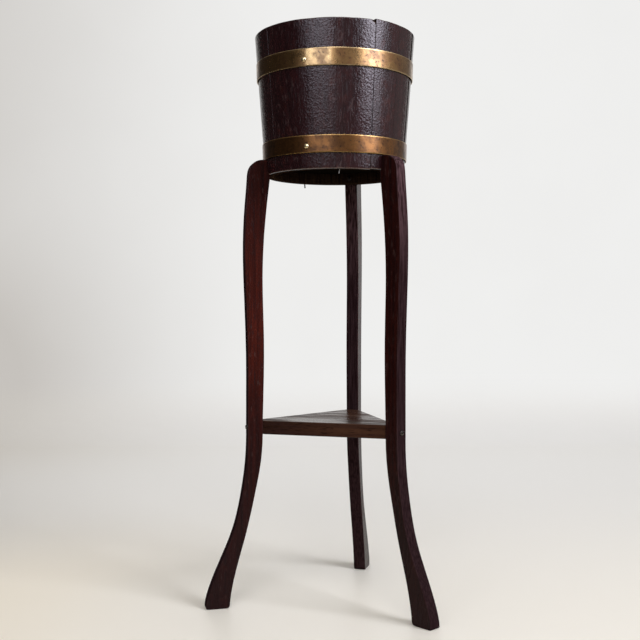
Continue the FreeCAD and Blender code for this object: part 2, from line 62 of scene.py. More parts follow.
# %% Camera
CAMERA_PLACE = (0.41476, -1.54790, 0.4953)
CAMERA_LOOK = Vector((-0.27314, 0.96174, -0.02143))
LENS_MM = 54.77
SENSOR_MM = 36.0

camera_data = bpy.data.cameras.new("camera")
camera_data.sensor_width = SENSOR_MM
camera_data.lens = LENS_MM
camera = bpy.data.objects.new("camera", camera_data)
camera.location = CAMERA_PLACE
camera.rotation_mode = "QUATERNION"
camera.rotation_quaternion = CAMERA_LOOK.to_track_quat("-Z", "Y")
scene.collection.objects.link(camera)
scene.camera = camera
scene.view_settings.view_transform = "Standard"
print("camera at", CAMERA_PLACE, "lens", LENS_MM)

# %% [markdown]
# ## Helpers for materials
#
# Colours are written as sRGB hex values, the way a paint chart gives them, and one function
# turns them to the linear values that the shader works in. One other function adds a node, feeds
# its inputs and hands on one of its outputs, so a material reads as a list of what feeds what. A
# third lays one colour over another, as a painter lays coats.

# %% Colour and node helpers
MM = 0.001


def hex_colour(text):
    channels = [int(text[i:i + 2], 16) / 255 for i in (1, 3, 5)]
    linear = [c / 12.92 if c <= 0.04045 else ((c + 0.055) / 1.055) ** 2.4 for c in channels]
    return (*linear, 1.0)


def add(tree, kind, inputs, out=0, **settings):
    """Add a node, set it, feed its inputs, and hand on one of its outputs if it has any."""
    node = tree.nodes.new("ShaderNode" + kind)
    for name, value in settings.items():
        setattr(node, name, value)
    for socket, value in inputs.items():
        if isinstance(value, bpy.types.NodeSocket):
            tree.links.new(value, node.inputs[socket])
        else:
            node.inputs[socket].default_value = value
    return node.outputs[out] if len(node.outputs) else None


def blank_material(name):
    material = bpy.data.materials.new(name)
    material.use_nodes = True
    material.node_tree.nodes.clear()
    return material, material.node_tree


def lay_coats(tree, first, coats):
    """One colour over another, each by its share; a colour is a hex text or a socket."""
    colour = hex_colour(first) if isinstance(first, str) else first
    for share, tone in coats:
        over = hex_colour(tone) if isinstance(tone, str) else tone
        colour = add(tree, "Mix", {0: share, 6: colour, 7: over}, out=2, data_type="RGBA")
    return colour


print("dark oak in linear light:", [round(c, 4) for c in hex_colour("#3A1B17")])

# %% [markdown]
# ## Floor and backdrop
#
# The studio is a roll of pale, faintly satin paper, 2.7 m wide. It hangs 1.9 m behind the tub and
# sweeps forward over the floor with no corner. The hanging part shows its own pale tone to the
# camera and to reflections, so that the background stays light with no more light on the object.
# On the floor that share is small, and it fades out under the stand, which keeps the shadow there.
# A painted shade darkens the tone to the left, away from the window, more so low down. The floor
# is warmer on that side, and toward the front it glows more there as painted light.

# %% The paper sweep
PAPER_LEFT = 1.2
PAPER_RIGHT = 1.5
PAPER_FRONT = -1.1
PAPER_WALL = 1.87
PAPER_TOP = 3.2
PAPER_BEND = 0.25
forward = Vector((CAMERA_LOOK.x, CAMERA_LOOK.y, 0)).normalized()
leftward = Vector((-forward.y, forward.x, 0))


def paper_profile(steps=24):
    start = PAPER_WALL - PAPER_BEND
    profile = [(PAPER_FRONT, 0.0), (start, 0.0)]
    for step in range(1, steps + 1):
        angle = math.pi / 2 * step / steps
        profile.append((start + PAPER_BEND * math.sin(angle), PAPER_BEND * (1 - math.cos(angle))))
    profile.append((PAPER_WALL, PAPER_TOP))
    return profile


profile = paper_profile()
corners = []
for along, up in profile:
    for across in (-PAPER_RIGHT, PAPER_LEFT):
        corners.append(forward * along + leftward * across + Vector((0, 0, up)))
sheet_faces = [(2 * i, 2 * i + 1, 2 * i + 3, 2 * i + 2) for i in range(len(profile) - 1)]
paper_mesh = bpy.data.meshes.new("paper_sweep")
paper_mesh.from_pydata(corners, [], sheet_faces)
paper_mesh.shade_smooth()
paper = bpy.data.objects.new("paper_sweep", paper_mesh)
scene.collection.objects.link(paper)
print("paper sweep:", len(profile), "rows, wall", PAPER_WALL, "m behind the tub")

# %% How the tone of the paper runs
# Each ramp: what it runs along, from and to in metres, and its values at both ends.
PAPER_RAMPS = {
    "rise": ("up", 0.0, 0.22, 0.0, 1.0),
    "low_down": ("up", 0.2, 0.9, 1.2, 0.74),
    "falloff": ("left", 0.1, 1.5, 0.0, 1.0),
    "warm_side": ("left", 0.0, 0.6, 0.0, 1.0),
    "fade": ("away", -0.2, 1.6, 0.0, 1.0),
    "front": ("away", 0.0, 0.7, 1.0, 0.0),
    "clear": ("apart", 0.12, 0.48, 0.0, 1.0),
}
# Each share is one ramp or share times another.
PAPER_SHARES = {
    "shade": ("falloff", "low_down"),
    "far_shade": ("shade", "fade"),
    "warm": ("warm_side", "front"),
}

paper_material, tree = blank_material("paper_calendered_satin")
place = add(tree, "TexCoord", {}, out="Object")
run = {"up": add(tree, "SeparateXYZ", {0: place}, out="Z"),
       "apart": add(tree, "VectorMath", {0: place}, out="Value", operation="LENGTH")}
for name, way in (("left", leftward), ("away", forward)):
    run[name] = add(tree, "VectorMath", {0: place, 1: way}, out="Value", operation="DOT_PRODUCT")
level = {}
for name, (along, start, end, low, high) in PAPER_RAMPS.items():
    level[name] = add(tree, "MapRange", {"Value": run[along], "From Min": start, "From Max": end,
                                         "To Min": low, "To Max": high}, interpolation_type="SMOOTHSTEP")
for name, (first, second) in PAPER_SHARES.items():
    level[name] = add(tree, "Math", {0: level[first], 1: level[second]}, operation="MULTIPLY")
print("paper ramps and shares:", ", ".join(level))

# %% Paper: calendered to a faint satin, a little warm on the floor
# It gives the eye an even pale ground, a soft shadow and a faint mirror image at the feet.
FLOOR_OWN_TONE, LEFT_PAINTED_GLOW, FAR_OWN_TONE = 0.08, 0.34, 0.5
CREASES_PER_METRE = 3.0
CREASE_SHARE = 0.12
# Fibres of paper are far below a millimetre wide, and drawn as clumps so that they still show.
FIBRE_SIZE = 3 * MM
TOOTH_DEPTH = 0.2 * MM

creases = add(tree, "TexNoise", {"Vector": place, "Scale": CREASES_PER_METRE, "Detail": 3.0})
uneven = add(tree, "Math", {0: creases, 1: CREASE_SHARE, 2: level["shade"]}, operation="MULTIPLY_ADD",
             use_clamp=True)
# Painted shade: toward the left the wall's glow, the floor's glow and the paper's colour are darkened.
wall_tone = lay_coats(tree, "#F1F1F0", [(uneven, "#C6C2BD")])
floor_tone = lay_coats(tree, "#F0ECE5", [(level["warm"], "#F2E4CC"), (level["far_shade"], "#D2CCC2")])
glow_tone = lay_coats(tree, floor_tone, [(level["rise"], wall_tone)])
paper_tone = lay_coats(tree, "#FBF1DD", [(level["fade"], "#F5F3EE"), (level["far_shade"], "#EDE8DE")])
fibre = add(tree, "TexNoise", {"Vector": place, "Scale": 1 / FIBRE_SIZE, "Detail": 2.0})
tooth = add(tree, "Bump", {"Height": fibre, "Strength": 0.05, "Distance": TOOTH_DEPTH})
satin = add(tree, "BsdfPrincipled", {"Base Color": paper_tone, "Roughness": 0.42,
                                     "Specular IOR Level": 0.4, "Normal": tooth})
glow = add(tree, "Emission", {"Color": glow_tone, "Strength": 1.0})
by_camera = add(tree, "LightPath", {}, out="Is Camera Ray")
by_mirror = add(tree, "LightPath", {}, out="Is Glossy Ray")
seen = add(tree, "Math", {0: by_camera, 1: by_mirror}, operation="MAXIMUM")
# Painted light: toward the front left the floor glows more, where the window lights it less.
near_own = add(tree, "MapRange", {"Value": level["warm"], "To Min": FLOOR_OWN_TONE, "To Max": LEFT_PAINTED_GLOW})
any_own = add(tree, "MapRange", {"Value": level["fade"], "To Min": near_own, "To Max": FAR_OWN_TONE})
floor_own = add(tree, "Math", {0: any_own, 1: level["clear"]}, operation="MULTIPLY")
own_tone = add(tree, "MapRange", {"Value": level["rise"], "To Min": floor_own, "To Max": 1.0})
shown = add(tree, "Math", {0: seen, 1: own_tone}, operation="MULTIPLY")
blend = add(tree, "MixShader", {0: shown, 1: satin, 2: glow})
add(tree, "OutputMaterial", {"Surface": blend})
paper_mesh.materials.append(paper_material)
print("paper material:", len(tree.nodes), "nodes")

# %% [markdown]
# ## Light
#
# Two upright bright bands run down the hoops. They are the reflections of two soft windows: a
# large one about fifty-five degrees to the right of the camera and a weaker one to its left.
# Their sills are at chest height, because the legs, which mirror what is lower, show no such band.
# An area lamp gives each. Its power follows from how bright the pane should look, so a wider
# pane keeps its brightness. A weak skylight above the camera lights the shelf and the floor. The
# rest of the room is dark, with a dim ceiling, which leaves the left of the tub nearly black. Only
# the camera sees the room as pale, for the other views.

# %% Soft windows and a skylight
WINDOW_TONE = "#E6EDFF"
SKY_TONE = "#F4F6FF"
SKYLIGHT_SIDE = 1.2
SKYLIGHT_PLACE = Vector((0, 0, 2.7)) - forward * 1.9
SKYLIGHT_AIM = Vector((0, 0, 0.4))


def area_lamp(name, place, aim, width, tall, brightness, tone):
    data = bpy.data.lights.new(name, "AREA")
    data.shape = "RECTANGLE"
    data.size = width
    data.size_y = tall
    data.color = hex_colour(tone)[:3]
    data.energy = brightness * math.pi * width * tall
    lamp = bpy.data.objects.new(name, data)
    lamp.location = place
    lamp.rotation_mode = "QUATERNION"
    lamp.rotation_quaternion = (aim - place).to_track_quat("-Z", "Y")
    scene.collection.objects.link(lamp)
    print(name, "at", [round(c, 2) for c in place], round(data.energy, 1), "W")


def window(name, angle, distance, sill, width, tall, brightness):
    """An upright pane that faces the tub, at an angle round from the camera."""
    middle = Vector((0, 0, sill + tall / 2))
    place = Matrix.Rotation(math.radians(angle), 3, "Z") @ -forward * distance + middle
    area_lamp(name, place, middle, width, tall, brightness, WINDOW_TONE)


window("window_right", angle=55, distance=2.2, sill=1.08, width=1.1, tall=2.0, brightness=11.6)
window("window_left", angle=-22, distance=2.7, sill=1.2, width=1.7, tall=0.84, brightness=4.6)
area_lamp("skylight", SKYLIGHT_PLACE, SKYLIGHT_AIM, width=SKYLIGHT_SIDE, tall=SKYLIGHT_SIDE,
          brightness=4.2, tone=SKY_TONE)

# %% The dim room round them
# Each paler side of the room: its direction, and how squarely it is faced where it begins and is full.
ROOM_SIDES = {
    "right": (-leftward, 0.5, 0.95),
    "camera": (-forward, 0.7, 1.0),
    "ceiling": (Vector((0, 0, 1)), 0.25, 0.85),
}

world = bpy.data.worlds.new("room")
scene.world = world
world.use_nodes = True
tree = world.node_tree
tree.nodes.clear()
direction = add(tree, "TexCoord", {}, out="Generated")
toward = {}
for name, (way, start, end) in ROOM_SIDES.items():
    facing = add(tree, "VectorMath", {0: direction, 1: way}, out="Value", operation="DOT_PRODUCT")
    toward[name] = add(tree, "MapRange", {"Value": facing, "From Min": start, "From Max": end},
                       interpolation_type="SMOOTHSTEP")
by_camera = add(tree, "LightPath", {}, out="Is Camera Ray")
view_tone = lay_coats(tree, "#33302E", [(toward["right"], "#9C9A98"), (toward["camera"], "#8A8886"),
                                        (toward["ceiling"], "#9A9997"), (by_camera, "#E6E4E0")])
room = add(tree, "Background", {"Color": view_tone, "Strength": 1.0})
add(tree, "OutputWorld", {"Surface": room})
print("room: dark walls, a paler one at the right, dim ceiling")

# %% [markdown]
# ## Stained oak
#
# Staves, legs and shelf are oak, planed, stained to a dark mahogany red and varnished. With age
# the varnish has gone amber and shrunk into a fine leathery skin, the stain has worn to red where
# hands touch it, and the arrises are rubbed pale. Most of it runs with the grain, so the material
# works in a board's own directions: across the face, into the face, and along the grain.
# Noise that is stretched along the grain then gives growth bands, fibres, pores and flecks, each
# from its real width and length. Staves, legs and shelf carry these directions as a point
# attribute, because each is turned or tapered. The floor boards lie square, so the object's axes,
# turned once, serve them.

# %% Patterns of oak
# Each pattern: millimetres across and along the grain, detail, and the noise where its mark begins
# and where it is full. Pores of oak are about 0.3 mm wide, and drawn at 1.1 mm so that they still
# show. Its fibres are finer yet, and drawn in bundles for the same reason.
OAK_PATTERNS = {
    "bands": (6.0, 190.0, 3.0, 0.36, 0.62),
    "fibres": (1.9, 60.0, 2.0, 0.35, 0.70),
    "pores": (1.1, 13.0, 1.0, 0.58, 0.70),
    "flecks": (3.6, 15.0, 2.0, 0.60, 0.72),
    "clouds": (42.0, 85.0, 3.0, 0.35, 0.68),
    "rubbed": (9.0, 16.0, 5.0, 0.50, 0.72),
    "scuffs": (8.0, 90.0, 3.0, 0.44, 0.58),
    "leather": (3.0, 2.5, 2.0, 0.25, 0.75),
}


def oak_patterns(tree, grain):
    """How strong each mark is, and the noise that each is made from."""
    level, found = {}, {}
    for name, (across, along, detail, start, full) in OAK_PATTERNS.items():
        scale = (1 / (across * MM), 1 / (across * MM), 1 / (along * MM))
        stretched = add(tree, "Mapping", {"Vector": grain, "Scale": scale})
        found[name] = add(tree, "TexNoise", {"Vector": stretched, "Scale": 1.0, "Detail": detail})
        level[name] = add(tree, "MapRange", {"Value": found[name], "From Min": start, "From Max": full},
                          interpolation_type="SMOOTHSTEP")
    return level, found


print("oak patterns:", ", ".join(OAK_PATTERNS))

# %% Where a board's directions come from
BOARD_TURN = (0.0, math.radians(90), 0.0)
BOARD_TOP_DIRT, BOARD_UNDER_SHADE = 0.1, 0.95


def carried_directions(tree):
    """Grain, worn arrises, dirt with painted shade, bare wood and handling, as the mesh carries them."""
    board = {"grain": add(tree, "Attribute", {}, out="Vector", attribute_name="grain"),
             "handled": add(tree, "Attribute", {}, out="Fac", attribute_name="handled")}
    marks = add(tree, "Attribute", {}, out="Vector", attribute_name="marks")
    for share, axis in (("worn", "X"), ("dirt", "Y"), ("bare", "Z")):
        board[share] = add(tree, "SeparateXYZ", {0: marks}, out=axis)
    return board


def square_directions(tree):
    """Grain along X from the object's axes, worn arrises where faces round over, painted shade underneath.
    """
    place = add(tree, "TexCoord", {}, out="Object")
    grain = add(tree, "VectorRotate", {"Vector": place, "Rotation": BOARD_TURN}, rotation_type="EULER_XYZ")
    normal = add(tree, "NewGeometry", {}, out="Normal")
    upward = add(tree, "SeparateXYZ", {0: normal}, out="Z")
    flat = add(tree, "Math", {0: upward, 1: upward}, operation="MULTIPLY")
    upright = add(tree, "Math", {0: 1.0, 1: flat}, operation="SUBTRACT")
    both = add(tree, "Math", {0: flat, 1: upright}, operation="MULTIPLY")
    # Halfway round an arris both are a half, so four times their product is 1 there.
    worn = add(tree, "Math", {0: both, 1: 4.0}, operation="MULTIPLY", use_clamp=True)
    # Painted shade: faces that look down are darkened.
    dirt = add(tree, "MapRange", {"Value": upward, "From Min": -0.5, "From Max": 0.5,
                                  "To Min": BOARD_UNDER_SHADE, "To Max": BOARD_TOP_DIRT})
    return {"grain": grain, "worn": worn, "dirt": dirt, "bare": 0.0, "handled": 0.0}


print("two ways to find the grain: carried by the mesh, or turned from the axes")

# %% How the marks of oak combine
# Each share is a mark times a second mark or number, plus a third.
OAK_SHARES = {
    "streaky": ("bands", 0.5, 0.5),
    "by_hand": ("handled", "streaky", 0.0),
    "touched": ("rubbed", "clouds", 0.0),
    "lines": ("fibres", 0.4, 0.0),
    "specks": ("flecks", 0.35, 0.0),
    "dots": ("pores", "pore_fill", 0.0),
    "patchy": ("clouds", 0.6, 0.3),
    "edge": ("worn", "patchy", 0.0),
    "through": ("scuffs", "scuffing", 0.0),
    "ridges": ("fibres", 0.15, "leather"),
    "relief": ("pores", -0.2, "ridges"),
    "rough": ("pores", 0.2, "gloss"),
}
# Each coat from the first to the last: where it lies, and its tone.
# The dirt coat also lays painted shade where a piece gives it: the tub's recess and lower end, and
# undersides.
VARNISHED_COATS = [("bands", "early"), ("by_hand", "handled"), ("touched", "rubbed"), ("lines", "late"),
                   ("specks", "scuffed"), ("dots", "grime"), ("edge", "arris"), ("dirt", "grime")]
BARE_COATS = [("fibres", "late"), ("by_hand", "handled"), ("dots", "grime"), ("dirt", "grime")]
print("coats of colour:", len(VARNISHED_COATS), "under varnish,", len(BARE_COATS), "on bare wood")

# %% The oak itself
# Old varnish is amber, so it warms what it mirrors.
AMBER = (1.0, 0.92, 0.9, 1.0)
CLOUD_LOW, CLOUD_HIGH = 0.3, 0.7
TUB_STAIN = {"late": "#200C0E", "early": "#2A1113", "rubbed": "#381613", "scuffed": "#5A4845",
             "arris": "#6E574A", "grime": "#080404", "bare": "#4A3828", "handled": "#3B1714"}


def stained_oak(name, directions, tones, gloss_range, shine, skin_depth, pore_fill, scuffing=0.0):
    """Varnished oak over bare oak; gloss_range is the least and the greatest roughness of the varnish."""
    material, tree = blank_material(name)
    board = directions(tree)
    level, found = oak_patterns(tree, board["grain"])
    level["gloss"] = add(tree, "MapRange", {"Value": found["clouds"], "From Min": CLOUD_LOW,
                                            "From Max": CLOUD_HIGH, "To Min": gloss_range[0],
                                            "To Max": gloss_range[1]})
    level.update(board, pore_fill=pore_fill, scuffing=scuffing)
    for share, (mark, by, plus) in OAK_SHARES.items():
        level[share] = add(tree, "Math", {0: level[mark], 1: level.get(by, by), 2: level.get(plus, plus)},
                           operation="MULTIPLY_ADD")
    colour = lay_coats(tree, tones["late"], [(level[share], tones[tone]) for share, tone in VARNISHED_COATS])
    dull = lay_coats(tree, tones["bare"], [(level[share], tones[tone]) for share, tone in BARE_COATS])
    bare = add(tree, "Math", {0: level["bare"], 1: level["through"]}, operation="MAXIMUM")
    bump = add(tree, "Bump", {"Height": level["relief"], "Strength": 0.8, "Distance": skin_depth * MM})
    varnish = add(tree, "BsdfPrincipled", {"Base Color": colour, "Roughness": level["rough"],
                                           "Specular IOR Level": shine, "Specular Tint": AMBER,
                                           "Normal": bump})
    wood = add(tree, "BsdfPrincipled", {"Base Color": dull, "Roughness": 0.9, "Specular IOR Level": 0.0,
                                        "Normal": bump})
    surface = add(tree, "MixShader", {0: bare, 1: varnish, 2: wood})
    add(tree, "OutputMaterial", {"Surface": surface})
    return material


# It gives the eye a nearly black red-brown with a broken, leathery shine under the windows.
stave_oak = stained_oak("oak_planed_stained_varnished", carried_directions, TUB_STAIN,
                        gloss_range=(0.15, 0.26), shine=0.55, skin_depth=0.2, pore_fill=0.35)
print("oak for the staves:", len(stave_oak.node_tree.nodes), "nodes")

# %% [markdown]
# ## Staves
#
# Each stave is a tapered slice of the tub's wall. A cooper planes it by hand, so its outer face
# is a little flatter than the circle and the light breaks slightly at each joint. The CAD
# slices are true and sharp, so each stave is made again as a finer mesh: one section of the wall
# is drawn once and swept through the stave's own angle, with rounded ends and a groove for
# the floor. All the working is inward, so the hoops still fit.

# %% Sizes of a stave, read from the frame
WALL_THICKNESS = 14 * MM
END_ROUND = 1.6 * MM
GROOVE_DEPTH = 4 * MM
GROOVE_HEIGHT = 6 * MM
floor_low, floor_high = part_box("floor_board_middle")
GROOVE_MIDDLE = (floor_low.z + floor_high.z) / 2


def about_axis(name):
    """Angle, radius and height of each corner of a CAD piece, about the tub's axis."""
    corners = [vertex.co for vertex in nodes[name].data.vertices]
    heading = math.atan2(sum(c.y for c in corners), sum(c.x for c in corners))
    found = []
    for c in corners:
        turn = (math.atan2(c.y, c.x) - heading + math.pi) % math.tau - math.pi
        found.append((heading + turn, math.hypot(c.x, c.y), c.z))
    return found


def stave_sizes(name):
    corners = about_axis(name)
    low = min(z for a, r, z in corners)
    high = max(z for a, r, z in corners)
    foot = max((r, z) for a, r, z in corners if z < low + 2 * END_ROUND)
    rim = max((r, z) for a, r, z in corners if z > high - 2 * END_ROUND)
    taper = (rim[0] - foot[0]) / (rim[1] - foot[1])
    return {"start": min(a for a, r, z in corners), "end": max(a for a, r, z in corners),
            "low": low, "high": high, "wall": lambda z: foot[0] + taper * (z - foot[1])}


sizes = {name: stave_sizes(name) for name in sorted(nodes) if name.startswith("stave_")}
for name, found in sizes.items():
    print(name, "from", round(math.degrees(found["start"]), 1), "to", round(math.degrees(found["end"]), 1))

# %% One section of the wall
LOWER_WEAR, RIM_WEAR, MOUTH_WEAR = 1.0, 0.3, 0.4
MOUTH_BARE = 0.6
# Painted shade: the lower end, the groove for the floor and the recess under it are darkened. The same dark
# tone also marks torn wood at the chip and in the open joints.
END_SHADE_AND_DIRT = 0.9
SOIL_DIRT = 0.6
RECESS_SHADE = (0.8, 0.6, 0.4)


def round_over(centre_r, centre_z, first, last, wear, bare, steps=4):
    """A rounded corner, most worn in its middle, and clean."""
    points = []
    for step in range(steps + 1):
        share = step / steps
        angle = math.radians(first + (last - first) * share)
        points.append((centre_r + END_ROUND * math.cos(angle), centre_z + END_ROUND * math.sin(angle),
                       wear * math.sin(math.pi * share), bare, 0.0))
    return points


def wall_section(found, rows=26, inner_rows=8, crowding=0.8):
    """Radius, height, wear, bareness, and dirt with painted shade, from the lower end up, over the rim and
    down inside.
    """
    low, high, wall = found["low"], found["high"], found["wall"]
    foot, top = low + END_ROUND, high - END_ROUND
    section = [(wall(low) - 2 * END_ROUND, low, 0.0, 1.0, END_SHADE_AND_DIRT)]
    section += round_over(wall(low) - END_ROUND, foot, -90, 0, LOWER_WEAR, 0.0)
    # Rows crowd toward both ends, where the wear is.
    for row in range(1, rows):
        share = row / rows
        z = foot + (top - foot) * (share - math.sin(math.tau * share) / math.tau * crowding)
        section.append((wall(z), z, 0.0, 0.0, 0.0))
    section += round_over(wall(top) - END_ROUND, top, 0, 90, RIM_WEAR, 0.0)
    section += round_over(wall(high) - WALL_THICKNESS + END_ROUND, top, 90, 180, MOUTH_WEAR, MOUTH_BARE)
    groove_high = GROOVE_MIDDLE + GROOVE_HEIGHT / 2
    groove_low = GROOVE_MIDDLE - GROOVE_HEIGHT / 2
    groove = wall(GROOVE_MIDDLE) - WALL_THICKNESS + GROOVE_DEPTH
    inside = []
    for row in range(1, inner_rows + 1):
        z = top + (groove_high - top) * row / inner_rows
        inside.append((wall(z) - WALL_THICKNESS, z, SOIL_DIRT * (row / inner_rows) ** 2))
    inside += [(groove, groove_high, END_SHADE_AND_DIRT), (groove, groove_low, END_SHADE_AND_DIRT),
               (wall(groove_low) - WALL_THICKNESS, groove_low, RECESS_SHADE[0]),
               (wall(low) - WALL_THICKNESS, foot, RECESS_SHADE[1]),
               (wall(low) - WALL_THICKNESS + END_ROUND / 2, low, RECESS_SHADE[2])]
    return section + [(r, z, 0.0, 1.0, dirt) for r, z, dirt in inside]


print("points in a section:", len(wall_section(sizes["stave_01"])))

# %% [markdown]
# The joints are not alike. Most are tight and filled with varnish. The one beside the stave that
# has crept up is open enough to show as a dark line, and another at the right has shrunk apart.
# Both still touch on the inside, so no light comes through. At the crept stave the neighbour's rim
# is chipped.

# %% Joints
TIGHT_JOINT = 0.06 * MM
OPEN_JOINTS = {2: 0.3 * MM, 4: 2.2 * MM}
TIGHT_EASE, OPEN_EASE = 0.15 * MM, 0.6 * MM
TIGHT_GRIME, OPEN_GRIME = 0.35, 0.9
STAINED_FROM = 0.5 * MM
EDGE_COLUMN = 2.5 * MM
STAVE_COUNT = len(sizes)


def joint_after(number):
    return OPEN_JOINTS.get((number - 1) % STAVE_COUNT + 1, TIGHT_JOINT)


def stave_edge(joint, edge, side, radius):
    """Outer and inner angle of a stave's edge at a joint, how far it is eased, and its dirt."""
    gap = joint / 2
    is_open = gap > TIGHT_JOINT
    inside = -TIGHT_JOINT / 2 if is_open else TIGHT_JOINT / 2
    ease = OPEN_EASE if is_open else TIGHT_EASE
    is_dirty = is_open and (side > 0 or gap < STAINED_FROM)
    return (edge + side * gap / radius, edge + side * inside / radius, ease,
            OPEN_GRIME if is_dirty else TIGHT_GRIME)


def stave_columns(number, found, middle_columns=11):
    """Such an edge at the left and at the right of a stave, and plain columns between them."""
    radius = found["wall"]((found["low"] + found["high"]) / 2)
    left = stave_edge(joint_after(number - 1), found["start"], 1, radius)
    right = stave_edge(joint_after(number), found["end"], -1, radius)
    stain = OPEN_GRIME if joint_after(number - 1) / 2 > STAINED_FROM else 0.0
    first, last = left[0] + EDGE_COLUMN / radius, right[0] - EDGE_COLUMN / radius
    between = [(left[0] + left[2] / radius, stain), (first, stain)]
    for column in range(1, middle_columns):
        between.append((first + (last - first) * column / (middle_columns - 1), 0.0))
    between.append((right[0] - right[2] / radius, 0.0))
    return [left, *((angle, angle, 0.0, dirt) for angle, dirt in between), right]


print("open joints after staves", sorted(OPEN_JOINTS))

# %% Planing, chips and the rim
# Waves are counted per radian round the tub and per metre along a stave. A seed sets staves apart.
FLATTER_BY = 0.08 * MM
PLANED_BY = 0.14 * MM
PLANED_ROUND, PLANED_ALONG, PLANED_SEED = 9, 14, 5.3
RIM_UNEVEN = 0.5 * MM
RIM_ROUND, RIM_LEVEL, RIM_SEED = 11, 3.1, 2.7
CHIPPED_STAVE = 2
CHIP_WIDTH, CHIP_TALL, CHIP_DEPTH = 6 * MM, 5 * MM, 3 * MM
CREPT_STAVE = 3
CREPT_SLOPE = 1.4 * MM


def wave(*place):
    """A smooth unevenness from -1 to 1, the same at each run."""
    return noise.noise(Vector(place))


def flatter_at(angle):
    """How far the planed faces lie inside the circle at an angle."""
    for found in sizes.values():
        turn = (angle - found["start"]) % math.tau
        wide = found["end"] - found["start"]
        if turn <= wide:
            return FLATTER_BY * (1 - (2 * turn / wide - 1) ** 2)
    return 0.0


def chip_at(number, found, angle, z):
    """Share of the chip's depth that is gone: all of it at the rim's right corner."""
    if number != CHIPPED_STAVE:
        return 0.0
    to_right = (found["end"] - angle) * found["wall"](z)
    return max(0.0, 1 - to_right / CHIP_WIDTH) * max(0.0, 1 - (found["high"] - z) / CHIP_TALL)


def rim_drop(number, found, angle, z):
    """How far the rim lies below its highest point: uneven, and aslope on the crept stave."""
    if z <= found["high"] - 2 * END_ROUND:
        return 0.0
    drop = RIM_UNEVEN * max(0.0, wave(angle * RIM_ROUND, RIM_LEVEL, number * RIM_SEED))
    if number == CREPT_STAVE:
        drop += CREPT_SLOPE * (angle - found["start"]) / (found["end"] - found["start"])
    return drop


print("chip of", CHIP_DEPTH / MM, "mm in stave", CHIPPED_STAVE)

# %% Sweep each section into a stave
STAVE_GRAIN_STEP = (0.173, 0.091, 0.317)
FLAKES_ALONG, FLAKE_LEVEL = 130, 2.3
FLAKED_SOON, TORN_SOON = 2, 3


def unit(value):
    return max(0.0, min(1.0, value))


def tube_faces(rings, size):
    """Faces of a tube made of rings of points, closed at both ends."""
    faces = []
    for ring in range(rings - 1):
        for row in range(size):
            a, b = ring * size + row, ring * size + (row + 1) % size
            faces.append((a, a + size, b + size, b))
    faces.append(tuple(range(size)))
    faces.append(tuple(reversed(range((rings - 1) * size, rings * size))))
    return faces


def moved_on(place, number, step):
    """A place in the wood, moved on for each board, so that no two show the same grain."""
    return tuple(p + number * s for p, s in zip(place, step))


def sweep_stave(number, found):
    section = wall_section(found)
    columns = stave_columns(number, found)
    middle = (found["start"] + found["end"]) / 2
    points, grain, marks = [], [], []
    for outer, inner, ease, joint in columns:
        in_gap = 1.0 if joint > TIGHT_GRIME else 0.0
        for r, z, worn, bare, dirt in section:
            wall = found["wall"](z)
            outness = unit((r - wall + WALL_THICKNESS) / WALL_THICKNESS)
            angle = inner + (outer - inner) * outness
            chip = chip_at(number, found, angle, z)
            ripple = abs(wave(angle * PLANED_ROUND, z * PLANED_ALONG, number * PLANED_SEED))
            radius = r - (flatter_at(angle) + PLANED_BY * ripple + ease + CHIP_DEPTH * chip) * outness
            height = z - rim_drop(number, found, angle, z) - CHIP_DEPTH / 2 * chip
            points.append((radius * math.cos(angle), radius * math.sin(angle), height))
            grain.append(moved_on(((angle - middle) * wall, r - wall, z), number, STAVE_GRAIN_STEP))
            flaked = unit(FLAKED_SOON * wave(z * FLAKES_ALONG, number, FLAKE_LEVEL)) * in_gap
            torn = max(in_gap, min(1.0, TORN_SOON * chip)) * outness
            marks.append((max(worn, flaked * outness), max(joint * outness, dirt, END_SHADE_AND_DIRT * torn),
                          max(bare, torn)))
    return points, tube_faces(len(columns), len(section)), grain, marks


print("points in a stave:", len(sweep_stave(1, sizes["stave_01"])[0]))

# %% The finished staves
SHARP_TURN = math.radians(40)


def finished_piece(name, points, faces, replaced, slot, material, **carried):
    """A piece in place of a CAD node; what it carries are the point attributes of its mesh."""
    mesh = bpy.data.meshes.new(name)
    mesh.from_pydata(points, [], faces)
    mesh.shade_smooth()
    mesh.set_sharp_from_angle(angle=SHARP_TURN)
    mesh.materials.append(material)
    for layer, values in carried.items():
        data = mesh.attributes.new(layer, "FLOAT_VECTOR", "POINT").data
        data.foreach_set("vector", [part for value in values for part in value])
    piece = bpy.data.objects.new(name, mesh)
    scene.collection.objects.link(piece)
    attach(piece, "root")
    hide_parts(replaced)
    print(name, len(points), "points")


for number, (name, found) in enumerate(sizes.items(), start=1):
    points, faces, grain, marks = sweep_stave(number, found)
    finished_piece("planed_" + name, points, faces, name, "stained_oak", stave_oak, grain=grain, marks=marks)

# %% [markdown]
# ## Legs and shelf
#
# The legs and the shelf are sawn from flat plank. Their flats were planed and varnished, their
# edges keep the saw's slight wander, and the soles are rounded from being dragged about. A
# modifier would ease every edge alike, so each board is drawn again: the outline of its flat face
# is read from the frame, evened out, and then swept over the arris, across the edge and over the
# other arris. Each ring of points knows whether it is flat, rubbed or sawn.

# %% Outline of a sawn board, read from the frame
CLOSE = 0.01 * MM
OUTLINE_STEP = 2.5 * MM
CORNER_TURN = math.radians(25)


